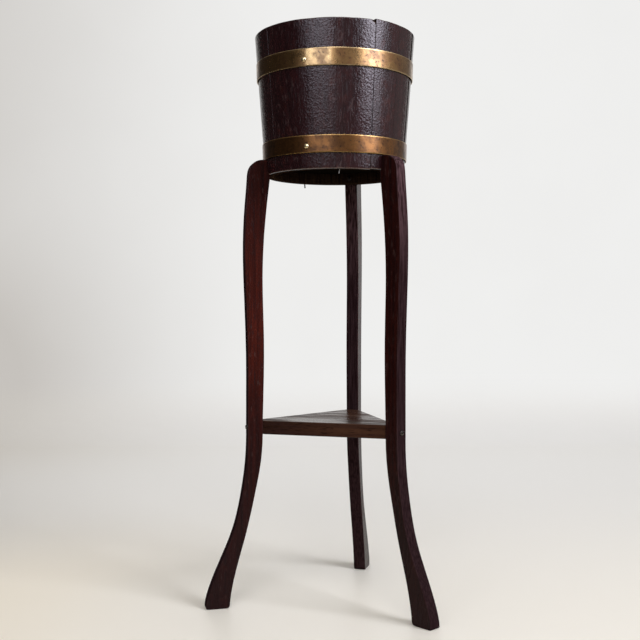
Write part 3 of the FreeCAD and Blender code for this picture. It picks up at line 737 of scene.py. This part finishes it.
def flat_outline(name, axes):
    """Outline of a board's flat face, in order, with the middle and half of its thickness."""
    local = [axes @ vertex.co for vertex in nodes[name].data.vertices]
    low, high = min(c.z for c in local), max(c.z for c in local)
    spot = [(round(c.x / CLOSE), round(c.y / CLOSE)) for c in local]
    sides = set()
    for polygon in nodes[name].data.polygons:
        ring = list(polygon.vertices)
        if min(local[i].z for i in ring) < high - CLOSE:
            continue
        for a, b in zip(ring, ring[1:] + ring[:1]):
            if (spot[b], spot[a]) in sides:
                sides.remove((spot[b], spot[a]))
            elif spot[a] != spot[b]:
                sides.add((spot[a], spot[b]))
    follows = dict(sides)
    here = min(follows)
    outline = []
    while here in follows:
        outline.append(Vector(here) * CLOSE)
        here = follows.pop(here)
    return outline, (low + high) / 2, (high - low) / 2


def even_outline(outline):
    """The same outline in even steps from corner to corner."""
    count = len(outline)
    corners = []
    for i, here in enumerate(outline):
        before, after = here - outline[i - 1], outline[(i + 1) % count] - here
        if before.angle(after) > CORNER_TURN:
            corners.append(i)
    even = []
    for first, last in zip(corners, corners[1:] + [corners[0] + count]):
        run = [outline[i % count] for i in range(first, last + 1)]
        marks = [0.0]
        for a, b in zip(run, run[1:]):
            marks.append(marks[-1] + (b - a).length)
        steps = max(1, round(marks[-1] / OUTLINE_STEP))
        piece = 0
        for step in range(steps):
            along = marks[-1] * step / steps
            while marks[piece + 1] < along:
                piece += 1
            share = (along - marks[piece]) / (marks[piece + 1] - marks[piece])
            even.append(run[piece].lerp(run[piece + 1], share))
    return even


print("outline steps of", OUTLINE_STEP / MM, "mm")

# %% From the outline to a board
ARRIS_ROUND = 1.2 * MM
FLAT_MARGIN = 1.5 * MM
SAWN_WANDER = 0.35 * MM
SAWN_ALONG, SAWN_ACROSS, SAWN_SEED = 35, 60, 3.7
ARC_STEPS = 4
EDGE_STEPS = 4
SHARPEST_CORNER = 0.6


def edge_rows(half):
    """Step outward, place across the board, rubbed and sawn, from one flat round to the other."""
    rows = [(-FLAT_MARGIN, half, 0.0, 0.0)]
    for step in range(ARC_STEPS + 1):
        angle = math.pi / 2 * step / ARC_STEPS
        rows.append((ARRIS_ROUND * math.sin(angle), half - ARRIS_ROUND * (1 - math.cos(angle)),
                     math.sin(2 * angle), step / ARC_STEPS))
    back = [(out, -across, rubbed, sawn) for out, across, rubbed, sawn in reversed(rows)]
    for step in range(1, EDGE_STEPS):
        rows.append((ARRIS_ROUND, (half - ARRIS_ROUND) * (1 - 2 * step / EDGE_STEPS), 0.0, 1.0))
    return rows + back


def outward(outline, i):
    """Which way is out at a point of the outline, and longer where a corner reaches further."""
    before = (outline[i] - outline[i - 1]).normalized()
    after = (outline[(i + 1) % len(outline)] - outline[i]).normalized()
    along = (before + after).normalized()
    return Vector((along.y, -along.x)) / max(SHARPEST_CORNER, along.dot(after))


def sweep_board(outline, middle, half, number, is_cut, trim):
    """Points in the board's own directions, faces, and each point's rubbed and sawn share."""
    rows = edge_rows(half)
    size = len(rows)
    count = len(outline)
    points, shares = [], []
    for i, here in enumerate(outline):
        out_here = outward(outline, i)
        eased = 0.0 if is_cut(here) else 1.0
        for out, across, rubbed, sawn in rows:
            wander = 0.5 + 0.5 * wave(here.y * SAWN_ALONG, across * SAWN_ACROSS, number * SAWN_SEED)
            step = out if out < 0 else (out - SAWN_WANDER * wander * sawn) * eased
            spot = here + out_here * step
            points.append(trim(Vector((spot.x, spot.y, middle + across))))
            shares.append((rubbed, sawn))
    faces = []
    for i in range(count):
        following = (i + 1) % count
        for row in range(size - 1):
            a, d = i * size + row, following * size + row
            faces.append((a, a + 1, d + 1, d))
    faces.append(tuple(i * size for i in range(count)))
    faces.append(tuple(i * size + size - 1 for i in reversed(range(count))))
    return points, faces, shares


print("steps round a board's edge:", 2 * ARC_STEPS + EDGE_STEPS)

# %% [markdown]
# The oak of the boards wears in its own way. Hands lift the stand by its legs, so the stain there
# has gone red a little above their middle, and dirt gathers toward the foot. The sawn edges hold no
# varnish and stay dull. On the shelf, pots have scuffed the varnish through in streaks, and its
# right side is browner.

# %% How the legs are worn
SOLE_WORN_TO = 9 * MM
CROWN_WORN_FROM = 0.655
CROWN_WORN_OUT = 6 * MM
LOW_DIRT, LOW_DIRT_TO, LOW_DIRT_FADE = 0.6, 0.4, 1.5
EDGE_DIRT_AND_SHADE, EDGE_SHADE_FROM, EDGE_SHADE_RUN = 0.75, 0.68, 0.16
LIFTED_SHARE = {"leg_back": 0.2, "leg_left": 1.0, "leg_right": 0.1}
LIFTED_AT = 0.46
LIFTED_SPREAD = 0.16
SAWN_UNTOUCHED = 0.7
TUB_SEAT = sizes["stave_01"]["low"]
tub_wall = sizes["stave_01"]["wall"]


def worn_round(outline, is_worn, passes):
    """Round the outline off where it is worn: each pass draws a point toward its neighbours."""
    for turn in range(passes):
        softer = []
        for i, here in enumerate(outline):
            around = (outline[i - 1] + outline[(i + 1) % len(outline)]) / 2
            softer.append((here + around) / 2 if is_worn(here) else here)
        outline = softer
    return outline


def on_sole(point):
    return point.y < SOLE_WORN_TO


def on_crown(point):
    return point.y > CROWN_WORN_FROM and point.x > tub_wall(point.y) + CROWN_WORN_OUT


def leg_dirt(height, sawn):
    """Dirt of mops and boots near the floor; sawn edges darken more and higher up, as dirt and painted
    shade.
    """
    low = LOW_DIRT * max(0.0, 1 - height / LOW_DIRT_TO) ** LOW_DIRT_FADE
    # Painted shade: the sawn edges darken from 0.68 m down, which leaves their lit tops paler.
    return max(low, EDGE_DIRT_AND_SHADE * unit((EDGE_SHADE_FROM - height) / EDGE_SHADE_RUN) * sawn)


def lifted(name, height, sawn):
    """How much hands have worn a leg at a height, less on its sawn edges."""
    near = math.exp(-((height - LIFTED_AT) / LIFTED_SPREAD) ** 2)
    return LIFTED_SHARE[name] * near * (1 - SAWN_UNTOUCHED * sawn)


def clear_of_tub(point):
    """Keep a point of a leg's notch outside the tub's wall, and the sole on the floor."""
    point.y = max(0.0, point.y)
    if point.y > TUB_SEAT + CLOSE and math.hypot(point.x, point.z) < tub_wall(point.y):
        point.x = math.sqrt(tub_wall(point.y) ** 2 - point.z ** 2)
    return point


print("legs meet the tub", round(TUB_SEAT, 3), "m up")

# %% Legs
LEG_ANGLES = {"leg_back": 90.0, "leg_left": 210.0, "leg_right": 330.0}
LEG_STAIN = {"late": "#1B0A09", "early": "#2C100D", "rubbed": "#3C1610", "scuffed": "#4F3B36",
             "arris": "#5A4640", "grime": "#1C1011", "bare": "#563F40", "handled": "#4A1A11"}
LEG_GRAIN_STEP = (0.23, 0.11, 0.37)
LEG_ARRIS_WEAR = 0.25
SOLE_PASSES, CROWN_PASSES = 3, 12

# It gives the eye a dull dark red, darker and plain at the sawn edges, with no mirror image.
leg_oak = stained_oak("oak_sawn_stained_varnished", carried_directions, LEG_STAIN,
                      gloss_range=(0.2, 0.32), shine=0.1, skin_depth=0.1, pore_fill=0.6)
for number, (name, angle) in enumerate(LEG_ANGLES.items(), start=1):
    radial = Vector((math.cos(math.radians(angle)), math.sin(math.radians(angle)), 0))
    up = Vector((0, 0, 1))
    axes = Matrix((radial, up, radial.cross(up)))
    outline, middle, half = flat_outline(name, axes)
    outline = worn_round(even_outline(outline), on_sole, SOLE_PASSES)
    outline = worn_round(outline, on_crown, CROWN_PASSES)
    points, faces, shares = sweep_board(
        outline, middle, half, number,
        lambda p: p.y > TUB_SEAT - CLOSE and math.hypot(p.x, half) < tub_wall(p.y) + ARRIS_ROUND / 2,
        clear_of_tub)
    grain, marks, handled = [], [], []
    for p, (rubbed, sawn) in zip(points, shares):
        grain.append(moved_on((p.x, p.z, p.y), number, LEG_GRAIN_STEP))
        marks.append((LEG_ARRIS_WEAR * rubbed, leg_dirt(p.y, sawn), sawn))
        # A share goes into all three parts of a vector, and the shader reads their mean.
        handled.append((lifted(name, p.y, sawn),) * 3)
    finished_piece("sawn_" + name, [axes.transposed() @ p for p in points], faces, name, "stained_oak",
                   leg_oak, grain=grain, marks=marks, handled=handled)

# %% Shelf
SHELF_STAIN = {"late": "#2E1B10", "early": "#563A26", "rubbed": "#6A462B", "scuffed": "#6A5546",
               "arris": "#6E574A", "grime": "#080404", "bare": "#33201C", "handled": "#4A3022"}
SHELF_NUMBER = len(LEG_ANGLES) + 1
SHELF_ARRIS_WEAR = 0.4
TOP_DIRT, SHELF_UNDER_SHADE, UNDER_FROM = 0.1, 0.85, 0.9
BROWN_FROM, BROWN_TO = -0.07, 0.03

# The shelf's own directions: to the front, to the right along the grain, and up.
shelf_axes = Matrix(((0, -1, 0), (1, 0, 0), (0, 0, 1)))
outline, middle, half = flat_outline("shelf", shelf_axes)
points, faces, shares = sweep_board(even_outline(outline), middle, half, SHELF_NUMBER,
                                    lambda p: False, lambda p: p)
# It gives the eye a pale sheen, broken by brown streaks where the varnish is worn through.
shelf_oak = stained_oak("oak_planed_stained_scuffed", carried_directions, SHELF_STAIN,
                        gloss_range=(0.2, 0.34), shine=0.62, skin_depth=0.12, pore_fill=0.7, scuffing=0.7)
grain, marks, browned = [], [], []
for p, (rubbed, sawn) in zip(points, shares):
    grain.append((p.x, p.z, p.y))
    # Painted shade: the underside of the shelf is darkened.
    is_under = p.z < middle - half * UNDER_FROM
    marks.append((SHELF_ARRIS_WEAR * rubbed, SHELF_UNDER_SHADE if is_under else TOP_DIRT, sawn))
    browned.append((unit((p.y - BROWN_FROM) / (BROWN_TO - BROWN_FROM)),) * 3)
finished_piece("sawn_shelf", [shelf_axes.transposed() @ p for p in points], faces, "shelf", "stained_oak",
               shelf_oak, grain=grain, marks=marks, handled=browned)

# %% [markdown]
# ## Floor of the tub
#
# The floor boards were never varnished. Soil and water have darkened them, and their underside is
# painted nearly black as shade. They could be swept again as the legs are, but they lie deep in the
# tub where little of them shows. So the CAD boards stay, and the oak above, in other tones and with
# no shine, gives their finish.

# %% Finish the floor boards
SOILED_OAK = {"late": "#2A2018", "early": "#46362A", "rubbed": "#53412F", "scuffed": "#655443",
              "arris": "#5A4938", "grime": "#050403", "bare": "#46362A", "handled": "#46362A"}


def dress(name, material):
    piece = nodes[name]
    piece.data.materials.clear()
    piece.data.materials.append(material)


# It gives the eye a flat dark brown with no shine at all.
board_oak = stained_oak("oak_sawn_bare_soiled", square_directions, SOILED_OAK,
                        gloss_range=(0.8, 0.95), shine=0.0, skin_depth=0.3, pore_fill=0.7)
for name in ("floor_board_front", "floor_board_middle", "floor_board_back", "floor_dowels"):
    dress(name, board_oak)
print("floor boards dressed")

# %% [markdown]
# ## Brass hoops
#
# Each hoop is one length of rolled brass strip, bent round the tub and riveted at the back where
# the outer end steps over the inner one. It hugs the staves, so it is slightly faceted, as they
# are, and thin strip always keeps a few shallow dents. The hoop is swept again from the frame's
# own heights and radii, with enough columns for the facets to catch the light.

# %% Sizes of a hoop, read from the frame
STRIP_THICKNESS = 1.2 * MM
LAP_STANDS_OUT = 1.8 * STRIP_THICKNESS


def hoop_sizes(name):
    corners = about_axis(name)
    low = min(z for a, r, z in corners)
    high = max(z for a, r, z in corners)
    low_radius = min(r for a, r, z in corners if z - low < STRIP_THICKNESS / 4)
    high_radius = min(r for a, r, z in corners if high - z < STRIP_THICKNESS / 4)
    taper = (high_radius - low_radius) / (high - low)
    proud = [a for a, r, z in corners if r > low_radius + taper * (z - low) + LAP_STANDS_OUT]
    return {"low": low, "tall": high - low, "radius": low_radius, "taper": taper,
            "lap_start": min(proud), "lap_end": max(proud)}


for name in ("hoop_upper", "hoop_lower"):
    found = hoop_sizes(name)
    print(name, "lap from", round(math.degrees(found["lap_start"]), 1),
          "to", round(math.degrees(found["lap_end"]), 1))

# %% Sweep the strip round the tub
LAP_CLEARANCE = 0.1 * MM
ROOT_TURN = math.radians(4.3)
DENTED_BY = 0.16 * MM
DENTS_ROUND, DENTS_UP = 4, 30
COLUMN_TURN = math.radians(1.5)
# Painted highlight: between these angles the upper hoop is coloured paler, where a window's reflection
# falls.
HIGHLIGHT_FROM, HIGHLIGHT_TO = math.radians(-95), math.radians(-77)


def strip_section(tall, rows=8, turns=4):
    """Height, depth and rubbed edge, round the strip from its lower inner edge."""
    half = STRIP_THICKNESS / 2
    section = []
    for turn in range(turns + 1):
        angle = math.pi * turn / turns
        section.append((half - half * math.sin(angle), half - half * math.cos(angle), math.sin(angle / 2)))
    for row in range(rows + 1):
        section.append((3 * half + (tall - 6 * half) * row / rows, STRIP_THICKNESS, 0.0))
    for turn in range(turns + 1):
        angle = math.pi * turn / turns
        section.append((tall - half + half * math.sin(angle), half + half * math.cos(angle),
                        math.cos(angle / 2)))
    return section


def sweep_hoop(found, seed, highlight_share):
    section = strip_section(found["tall"])
    first, last = found["lap_start"] + ROOT_TURN, found["lap_end"] + math.tau
    count = math.ceil((last - first) / COLUMN_TURN)
    points, strip, marks = [], [], []
    for column in range(count + 1):
        angle = first + (last - first) * column / count
        over = unit((angle - found["lap_start"] - math.tau) / ROOT_TURN)
        step = (STRIP_THICKNESS + LAP_CLEARANCE) * over * over * (3 - 2 * over)
        painted_highlight = highlight_share if HIGHLIGHT_FROM < angle - math.tau < HIGHLIGHT_TO else 0.0
        x, y = math.cos(angle), math.sin(angle)
        for up, depth, rubbed in section:
            dent = abs(wave(x * DENTS_ROUND, y * DENTS_ROUND, up * DENTS_UP + seed))
            radius = found["radius"] + found["taper"] * up + depth + step
            radius += DENTED_BY * dent - flatter_at(angle)
            points.append((radius * x, radius * y, found["low"] + up))
            strip.append((angle * radius, depth, up + seed))
            marks.append((rubbed, painted_highlight, 0.0))
    return points, tube_faces(count + 1, len(section)), strip, marks


print("points in the strip's section:", len(strip_section(hoop_sizes("hoop_upper")["tall"])))

# %% [markdown]
# Bare brass browns with age in clouds, and stays golden between them. It is a metal shader with a
# mottled colour: the brown patches are rougher, fine scratches run along the strip, small dark
# spots sit in clusters, the very edges are rubbed, and a dark ring lies round each nail. A stretch of
# 4 cm at the front of the upper hoop carries a painted highlight: paler brass where a window's
# reflection falls.

# %% Tones and marks of old brass
OLD_BRASS = {"rubbed": "#CDAE7C", "golden": "#A37C4C", "brown": "#7A5735", "spot": "#3E2B1B"}
BROWN_BRASS = {"rubbed": "#B98F52", "golden": "#8A5B2E", "brown": "#5E3C1E", "spot": "#2F1F12"}
BRIGHT_BRASS = {"rubbed": "#F4E6C2", "golden": "#EBD8AA", "brown": "#D8BC8A", "spot": "#A98A5C"}
# Each mark: the noise that it comes from, where it begins and where it is full.
BRASS_MARKS = {
    "brown": ("patches", 0.40, 0.62),
    "clusters": ("patches", 0.45, 0.60),
    "dots": ("fine", 0.56, 0.68),
}
print("brass browns from", OLD_BRASS["golden"], "to", OLD_BRASS["brown"])

# %% The brass itself
# Scratches are about a tenth of a millimetre wide, and drawn at 0.9 mm so that they still show.
SCRATCH_SCALE = (1 / (45 * MM), 1 / MM, 1 / (0.9 * MM))
SCRATCH_SHARE = 0.35
SPOTS_DULL = 0.25
BRASS_RELIEF = 0.15 * MM
PATCH_LOW, PATCH_HIGH = 0.35, 0.65
HIGHLIGHT_ON_GOLD, HIGHLIGHT_ON_BROWN = 0.55, 0.15
NAIL_RADIUS = 3.6 * MM
DARK_RING_WIDTH, DARK_RING_SHARE = 2.2 * MM, 0.9


def old_brass(name, tones, patch_mm, spot_mm, gloss_range, nail=None):
    """Mottled brass; on a hoop, whose nail is given, also rubbed edges, a painted highlight and a dark ring
    round the nail.
    """
    material, tree = blank_material(name)
    here = add(tree, "TexCoord", {}, out="Object")
    where = here
    if nail is not None:
        where = add(tree, "Attribute", {}, out="Vector", attribute_name="grain")
    patches = add(tree, "TexNoise", {"Vector": where, "Scale": 1 / (patch_mm * MM), "Detail": 5.0,
                                     "Roughness": 0.62})
    fine = add(tree, "TexNoise", {"Vector": where, "Scale": 1 / (spot_mm * MM), "Detail": 3.0})
    drawn = add(tree, "Mapping", {"Vector": where, "Scale": SCRATCH_SCALE})
    scratch = add(tree, "TexNoise", {"Vector": drawn, "Scale": 1.0, "Detail": 2.0})
    found = {"patches": patches, "fine": fine}
    level = {}
    for mark, (pattern, start, full) in BRASS_MARKS.items():
        level[mark] = add(tree, "MapRange", {"Value": found[pattern], "From Min": start, "From Max": full},
                          interpolation_type="SMOOTHSTEP")
    spots = add(tree, "Math", {0: level["clusters"], 1: level["dots"]}, operation="MULTIPLY")
    coats = [(level["brown"], tones["brown"]), (spots, tones["spot"])]
    if nail is not None:
        marks = add(tree, "Attribute", {}, out="Vector", attribute_name="marks")
        edge = add(tree, "SeparateXYZ", {0: marks}, out="X")
        highlight_share = add(tree, "SeparateXYZ", {0: marks}, out="Y")
        # The painted highlight is paler on the golden patches than on the brown.
        mottled = add(tree, "MapRange", {"Value": patches, "From Min": PATCH_LOW, "From Max": PATCH_HIGH,
                                         "To Min": HIGHLIGHT_ON_GOLD, "To Max": HIGHLIGHT_ON_BROWN},
                      interpolation_type="SMOOTHSTEP")
        painted_highlight = add(tree, "Math", {0: highlight_share, 1: mottled}, operation="MULTIPLY")
        # A dark ring round the head of the nail.
        apart = add(tree, "VectorMath", {0: here, 1: nail}, out="Value", operation="DISTANCE")
        ring = add(tree, "MapRange", {"Value": apart, "From Min": NAIL_RADIUS,
                                      "From Max": NAIL_RADIUS + DARK_RING_WIDTH,
                                      "To Min": DARK_RING_SHARE, "To Max": 0.0},
                   interpolation_type="SMOOTHSTEP")
        coats += [(painted_highlight, tones["rubbed"]), (edge, tones["rubbed"]), (ring, tones["spot"])]
    colour = lay_coats(tree, tones["golden"], coats)
    dull = add(tree, "MapRange", {"Value": patches, "From Min": PATCH_LOW, "From Max": PATCH_HIGH,
                                  "To Min": gloss_range[0], "To Max": gloss_range[1]})
    rough = add(tree, "Math", {0: spots, 1: SPOTS_DULL, 2: dull}, operation="MULTIPLY_ADD")
    relief = add(tree, "Math", {0: scratch, 1: SCRATCH_SHARE, 2: fine}, operation="MULTIPLY_ADD")
    bump = add(tree, "Bump", {"Height": relief, "Strength": 0.35, "Distance": BRASS_RELIEF})
    shader = add(tree, "BsdfPrincipled", {"Base Color": colour, "Metallic": 1.0, "Roughness": rough,
                                          "Normal": bump, "Coat Weight": 0.5, "Coat Roughness": 0.25})
    add(tree, "OutputMaterial", {"Surface": shader})
    return material


print("dirt reaches", round((NAIL_RADIUS + DARK_RING_WIDTH) / MM, 1), "mm from the middle of a nail")

# %% The finished hoops
PAINTED_HIGHLIGHT_SHARE = {"hoop_upper": 1.0, "hoop_lower": 0.0}
HOOP_SEED = 1.7


def nail_top(name):
    """The crown of the nail that goes through a hoop."""
    low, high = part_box(name)
    through = [vertex.co for vertex in nodes["hoop_nails"].data.vertices if low.z < vertex.co.z < high.z]
    return max(through, key=lambda c: math.hypot(c.x, c.y))


# It gives the eye warm gold in the bands of light, with brown clouds and dark spots between them.
hoop_brass = {
    "hoop_upper": old_brass("brass_rolled_rubbed", OLD_BRASS, patch_mm=24, spot_mm=3.2,
                            gloss_range=(0.23, 0.42), nail=nail_top("hoop_upper")),
    "hoop_lower": old_brass("brass_rolled_browned", BROWN_BRASS, patch_mm=20, spot_mm=3.2,
                            gloss_range=(0.26, 0.42), nail=nail_top("hoop_lower")),
}
for number, (name, material) in enumerate(hoop_brass.items(), start=1):
    points, faces, strip, marks = sweep_hoop(hoop_sizes(name), number * HOOP_SEED, PAINTED_HIGHLIGHT_SHARE[name])
    finished_piece("bent_" + name, points, faces, name, "brass", material, grain=strip, marks=marks)

# %% [markdown]
# The two domed nails and the four rivets are brass too. The nails stand out at the front, so they
# are rubbed bright, and the rivets at the back are left brown. They are small and plain, so the CAD
# shapes serve as they are, in the same finish with finer patches.

# %% Nails and rivets
# The nails give the eye two pale dots, and the rivets four brown buttons.
nail_brass = old_brass("brass_domed_rubbed", BRIGHT_BRASS, patch_mm=9, spot_mm=0.8, gloss_range=(0.28, 0.34))
rivet_brass = old_brass("brass_set_tarnished", OLD_BRASS, patch_mm=8, spot_mm=1.5, gloss_range=(0.25, 0.4))
dress("hoop_nails", nail_brass)
dress("hoop_rivets", rivet_brass)
print("nails and rivets dressed")

# %% [markdown]
# ## Screws and brads
#
# The screws are blackened steel with a little rust, and the domed heads by the shelf are rubbed
# enough to glint. Two brads stand out under the tub: one is clean drawn wire, bent aside, and the
# other has rusted dark, a rust that also stands for painted shade on the brad behind. One shader
# serves them all: a metal that turns rough and brown where the rust is. The brads are swept again
# as bent wire, which carries its own rust.

# %% Steel
RUST_TONE = "#2A1710"
RUST_FROM, RUST_FULL = 0.5, 0.66
RUSTED_METAL, RUSTED_ROUGH = 0.1, 0.75
PATCHY_RUST = 0.3
# Grains of scale are finer than 0.9 mm, and drawn so coarse that they still show.
GRAIN_SIZE, RUST_SIZE = 0.9 * MM, 3.5 * MM
STEEL_RELIEF = 0.1 * MM


def old_steel(name, clean, dark, gloss, carries_rust=False):
    material, tree = blank_material(name)
    place = add(tree, "TexCoord", {}, out="Object")
    fine = add(tree, "TexNoise", {"Vector": place, "Scale": 1 / GRAIN_SIZE, "Detail": 3.0})
    broad = add(tree, "TexNoise", {"Vector": place, "Scale": 1 / RUST_SIZE, "Detail": 4.0})
    rust = add(tree, "MapRange", {"Value": broad, "From Min": RUST_FROM, "From Max": RUST_FULL},
               interpolation_type="SMOOTHSTEP")
    if carries_rust:
        marks = add(tree, "Attribute", {}, out="Vector", attribute_name="marks")
        share = add(tree, "SeparateXYZ", {0: marks}, out="X")
        rust = add(tree, "Math", {0: rust, 1: PATCHY_RUST, 2: share}, operation="MULTIPLY_ADD",
                   use_clamp=True)
    colour = lay_coats(tree, clean, [(fine, dark), (rust, RUST_TONE)])
    shine = add(tree, "MapRange", {"Value": rust, "To Min": 1.0, "To Max": RUSTED_METAL})
    rough = add(tree, "MapRange", {"Value": rust, "To Min": gloss, "To Max": RUSTED_ROUGH})
    bump = add(tree, "Bump", {"Height": fine, "Strength": 0.3, "Distance": STEEL_RELIEF})
    shader = add(tree, "BsdfPrincipled", {"Base Color": colour, "Metallic": shine, "Roughness": rough,
                                          "Normal": bump})
    add(tree, "OutputMaterial", {"Surface": shader})
    return material


# The screws give the eye black domes with a small glint, and black heads in the recess.
dress("shelf_screws", old_steel("steel_turned_blackened_rubbed", "#59544E", "#171514", gloss=0.1))
dress("leg_screws", old_steel("steel_turned_blackened", "#2A2725", "#131110", gloss=0.4))
print("screws dressed")

# %% Brads of bent wire
BRAD_RADIUS = 0.8 * MM
WIRE_SIDES = 10
WIRE_STEPS = 10
WIRE_BOW = 0.6 * MM
RUST_SWELL = 0.3
END_BURR = 0.2
# By the sign of y: the clean brad is at the front of the tub, and the rusted one behind; its rust
# also stands for painted shade.
BRAD_RUST_AND_SHADE = {-1: 0.0, 1: 1.0}


def wire_ends(corners):
    """Middle of a brad's upper end and of its lower end."""
    ends = []
    for level in (max(c.z for c in corners), min(c.z for c in corners)):
        ring = [c for c in corners if abs(c.z - level) < MM]
        ends.append(sum(ring, Vector()) / len(ring))
    return ends


def bent_wire(upper, lower, rust):
    """Rings of points down a bowed wire, thicker where rust has swollen it."""
    along = (lower - upper).normalized()
    side = along.orthogonal().normalized()
    other = along.cross(side)
    points = []
    for step in range(WIRE_STEPS + 1):
        share = step / WIRE_STEPS
        middle = upper.lerp(lower, share) + side * WIRE_BOW * math.sin(math.pi * share) ** 2
        thick = BRAD_RADIUS * (1 + RUST_SWELL * rust + (END_BURR if step == WIRE_STEPS else 0.0))
        for turn in range(WIRE_SIDES):
            angle = -math.tau * turn / WIRE_SIDES
            points.append(middle + (side * math.cos(angle) + other * math.sin(angle)) * thick)
    return points


brad_corners = [vertex.co for vertex in nodes["rim_brads"].data.vertices]
points, faces, marks = [], [], []
for side, rust in BRAD_RUST_AND_SHADE.items():
    wire = bent_wire(*wire_ends([c for c in brad_corners if c.y * side > 0]), rust)
    faces += [tuple(len(points) + i for i in face) for face in tube_faces(WIRE_STEPS + 1, WIRE_SIDES)]
    points += wire
    marks += [(rust, 0.0, 0.0)] * len(wire)
# The brads give the eye one pale wire and one rust-brown one, its rust partly painted shade.
brad_steel = old_steel("steel_drawn_rusted_and_shaded", "#B4AFA8", "#77716A", gloss=0.3, carries_rust=True)
finished_piece("drawn_rim_brads", points, faces, "rim_brads", "steel", brad_steel, marks=marks)
